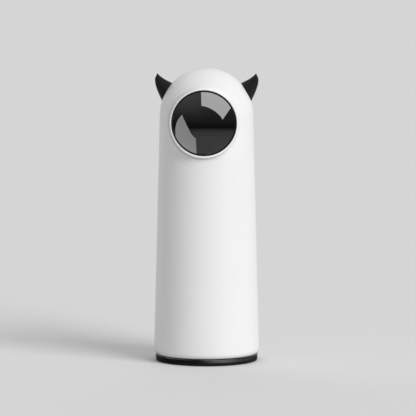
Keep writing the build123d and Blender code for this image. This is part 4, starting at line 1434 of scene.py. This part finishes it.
    def make_screen(self) -> None:
        """Curved dim screen that stands on the floor in front of the toy."""
        foot = -asin(self.eye.z / self.screen_reach)
        up, around = self.screen_steps
        turns = evenly(-radians(self.screen_half), radians(self.screen_half), around)
        rows = [
            [self.eye + self.screen_reach * facing(turn, rise) for turn in turns]
            for rise in evenly(foot, pi / 2, up)
        ]
        maker = self.card("dim_screen", rows)
        x, _, z = maker.axes()
        z = z * (1 / self.screen_reach)
        rise, low = z.ease(*self.screen_high), z.ease(*self.screen_low)
        left_glow, loss = self.screen_side_glow
        side = left_glow - x.ease(*(edge * self.screen_reach for edge in self.screen_sides)) * loss
        foot_glow, low_glow, high_glow = self.screen_glow
        self.glow(maker, foot_glow + low_glow * low + high_glow * rise * side)

    def make_far_floor(self) -> None:
        """Flag on the floor that darkens the mirrored horizon."""
        inner, lift = self.far_flag
        maker = self.card("far_flag", self.apron(inner, self.screen_reach, lift))
        bright, loss = self.far_glow
        self.glow(maker, bright - loss * maker.reach().ease(*self.far_fade))

    def apron(self, near: float, far: float, lift: float) -> list[list[Vector]]:
        """Points of a flat ring sector in front of the toy, between two radii, over the floor."""
        turns = evenly(-radians(self.apron_half), radians(self.apron_half), self.apron_steps)
        return [[facing(turn, 0.0) * radius + UP * lift for turn in turns] for radius in (near, far)]

    def make_near_floor(self) -> None:
        """Flag round the front of the foot, with a bright stretch that the base ring mirrors."""
        outer, lift = self.near_flag
        maker = self.card("near_flag", self.apron(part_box("base_ring")[1].x + self.near_gap, outer, lift))
        (x, y, _), reach = maker.axes(), maker.reach()
        middle = radians(self.near_side)
        side = (x * cos(middle) + y * sin(middle)) / reach
        peak, broad = [
            side.ease(*start) * (1 - side.ease(*end)) for start, end in (self.near_peak, self.near_broad)
        ]
        outside = reach.ease(self.near_fade, outer)
        dim, bright, soft = self.near_glow
        self.glow(maker, (dim + bright * peak + soft * broad) * (1 - outside) + soft * outside)

    def make_softbox(self, box: Softbox) -> None:
        """Softbox whose mirror image has a given outline on the lens.

        Args:
            box: The softbox.
        """
        rays: list[list[tuple[Vector, Vector]]] = [[] for _ in range(box.spans + box.wraps + 1)]
        for step in range(box.steps + 1):
            along = step / box.steps
            near, far = [self.on_eye(edge, along) for edge in (box.inner, box.outer)]
            for span in range(box.spans + 1):
                rays[span].append(self.mirrored(*near.lerp(far, span / box.spans)))
            touch, edge = rays[box.spans][-1]
            start = edge.angle(FRONT)
            turned_out = min(1.0, max(0.0, (along - box.wrap_from) / box.wrap_over))
            outwards = Vector((edge.x, 0, edge.z)).normalized()
            for wrap in range(1, box.wraps + 1):
                polar = start + (radians(box.far) - start) * turned_out * wrap / box.wraps
                direction = sin(polar) * outwards + cos(polar) * FRONT
                rays[box.spans + wrap].append((touch, direction))
        rows = [[self.standing(*ray) for ray in row] for row in rays]
        maker = self.card(box.name, rows)
        self.glow(maker, box.level)

    @staticmethod
    def on_eye(edge: Sequence[Place], along: float) -> Vector:
        """Place on the eye, off its middle, of a curve through angles and radii."""
        angle, radius = [through(values, along) for values in zip(*edge)]
        return Vector((radius * cos(radians(angle)), radius * sin(radians(angle)))) * MM

    def standing(self, touch: Vector, direction: Vector) -> Vector:
        """Where a mirrored ray meets a card, always above the floor.

        Args:
            touch: Where the ray leaves the lens.
            direction: Its direction.

        Returns:
            The card's point.
        """
        reach = self.card_reach
        if direction.z < -self.level_slope:
            reach = min(reach, self.card_drop * touch.z / -direction.z)
        return touch + reach * direction


def main() -> None:
    """Builds the looks."""
    logging.basicConfig(level=logging.INFO, format="%(name)s: %(message)s")
    studio = Studio()
    studio.build()
    palette = Palette(FINISHES)
    palette.dress_frame(frame["record"], frame["nodes"])
    for assembly in (Eye, Horns, Foot, Screws, SolderJoints, ChipLegs):
        assembly(palette).build()
    studio.show_to((Slot.LENS, Slot.GLOSS))


if __name__ == "__main__":
    main()
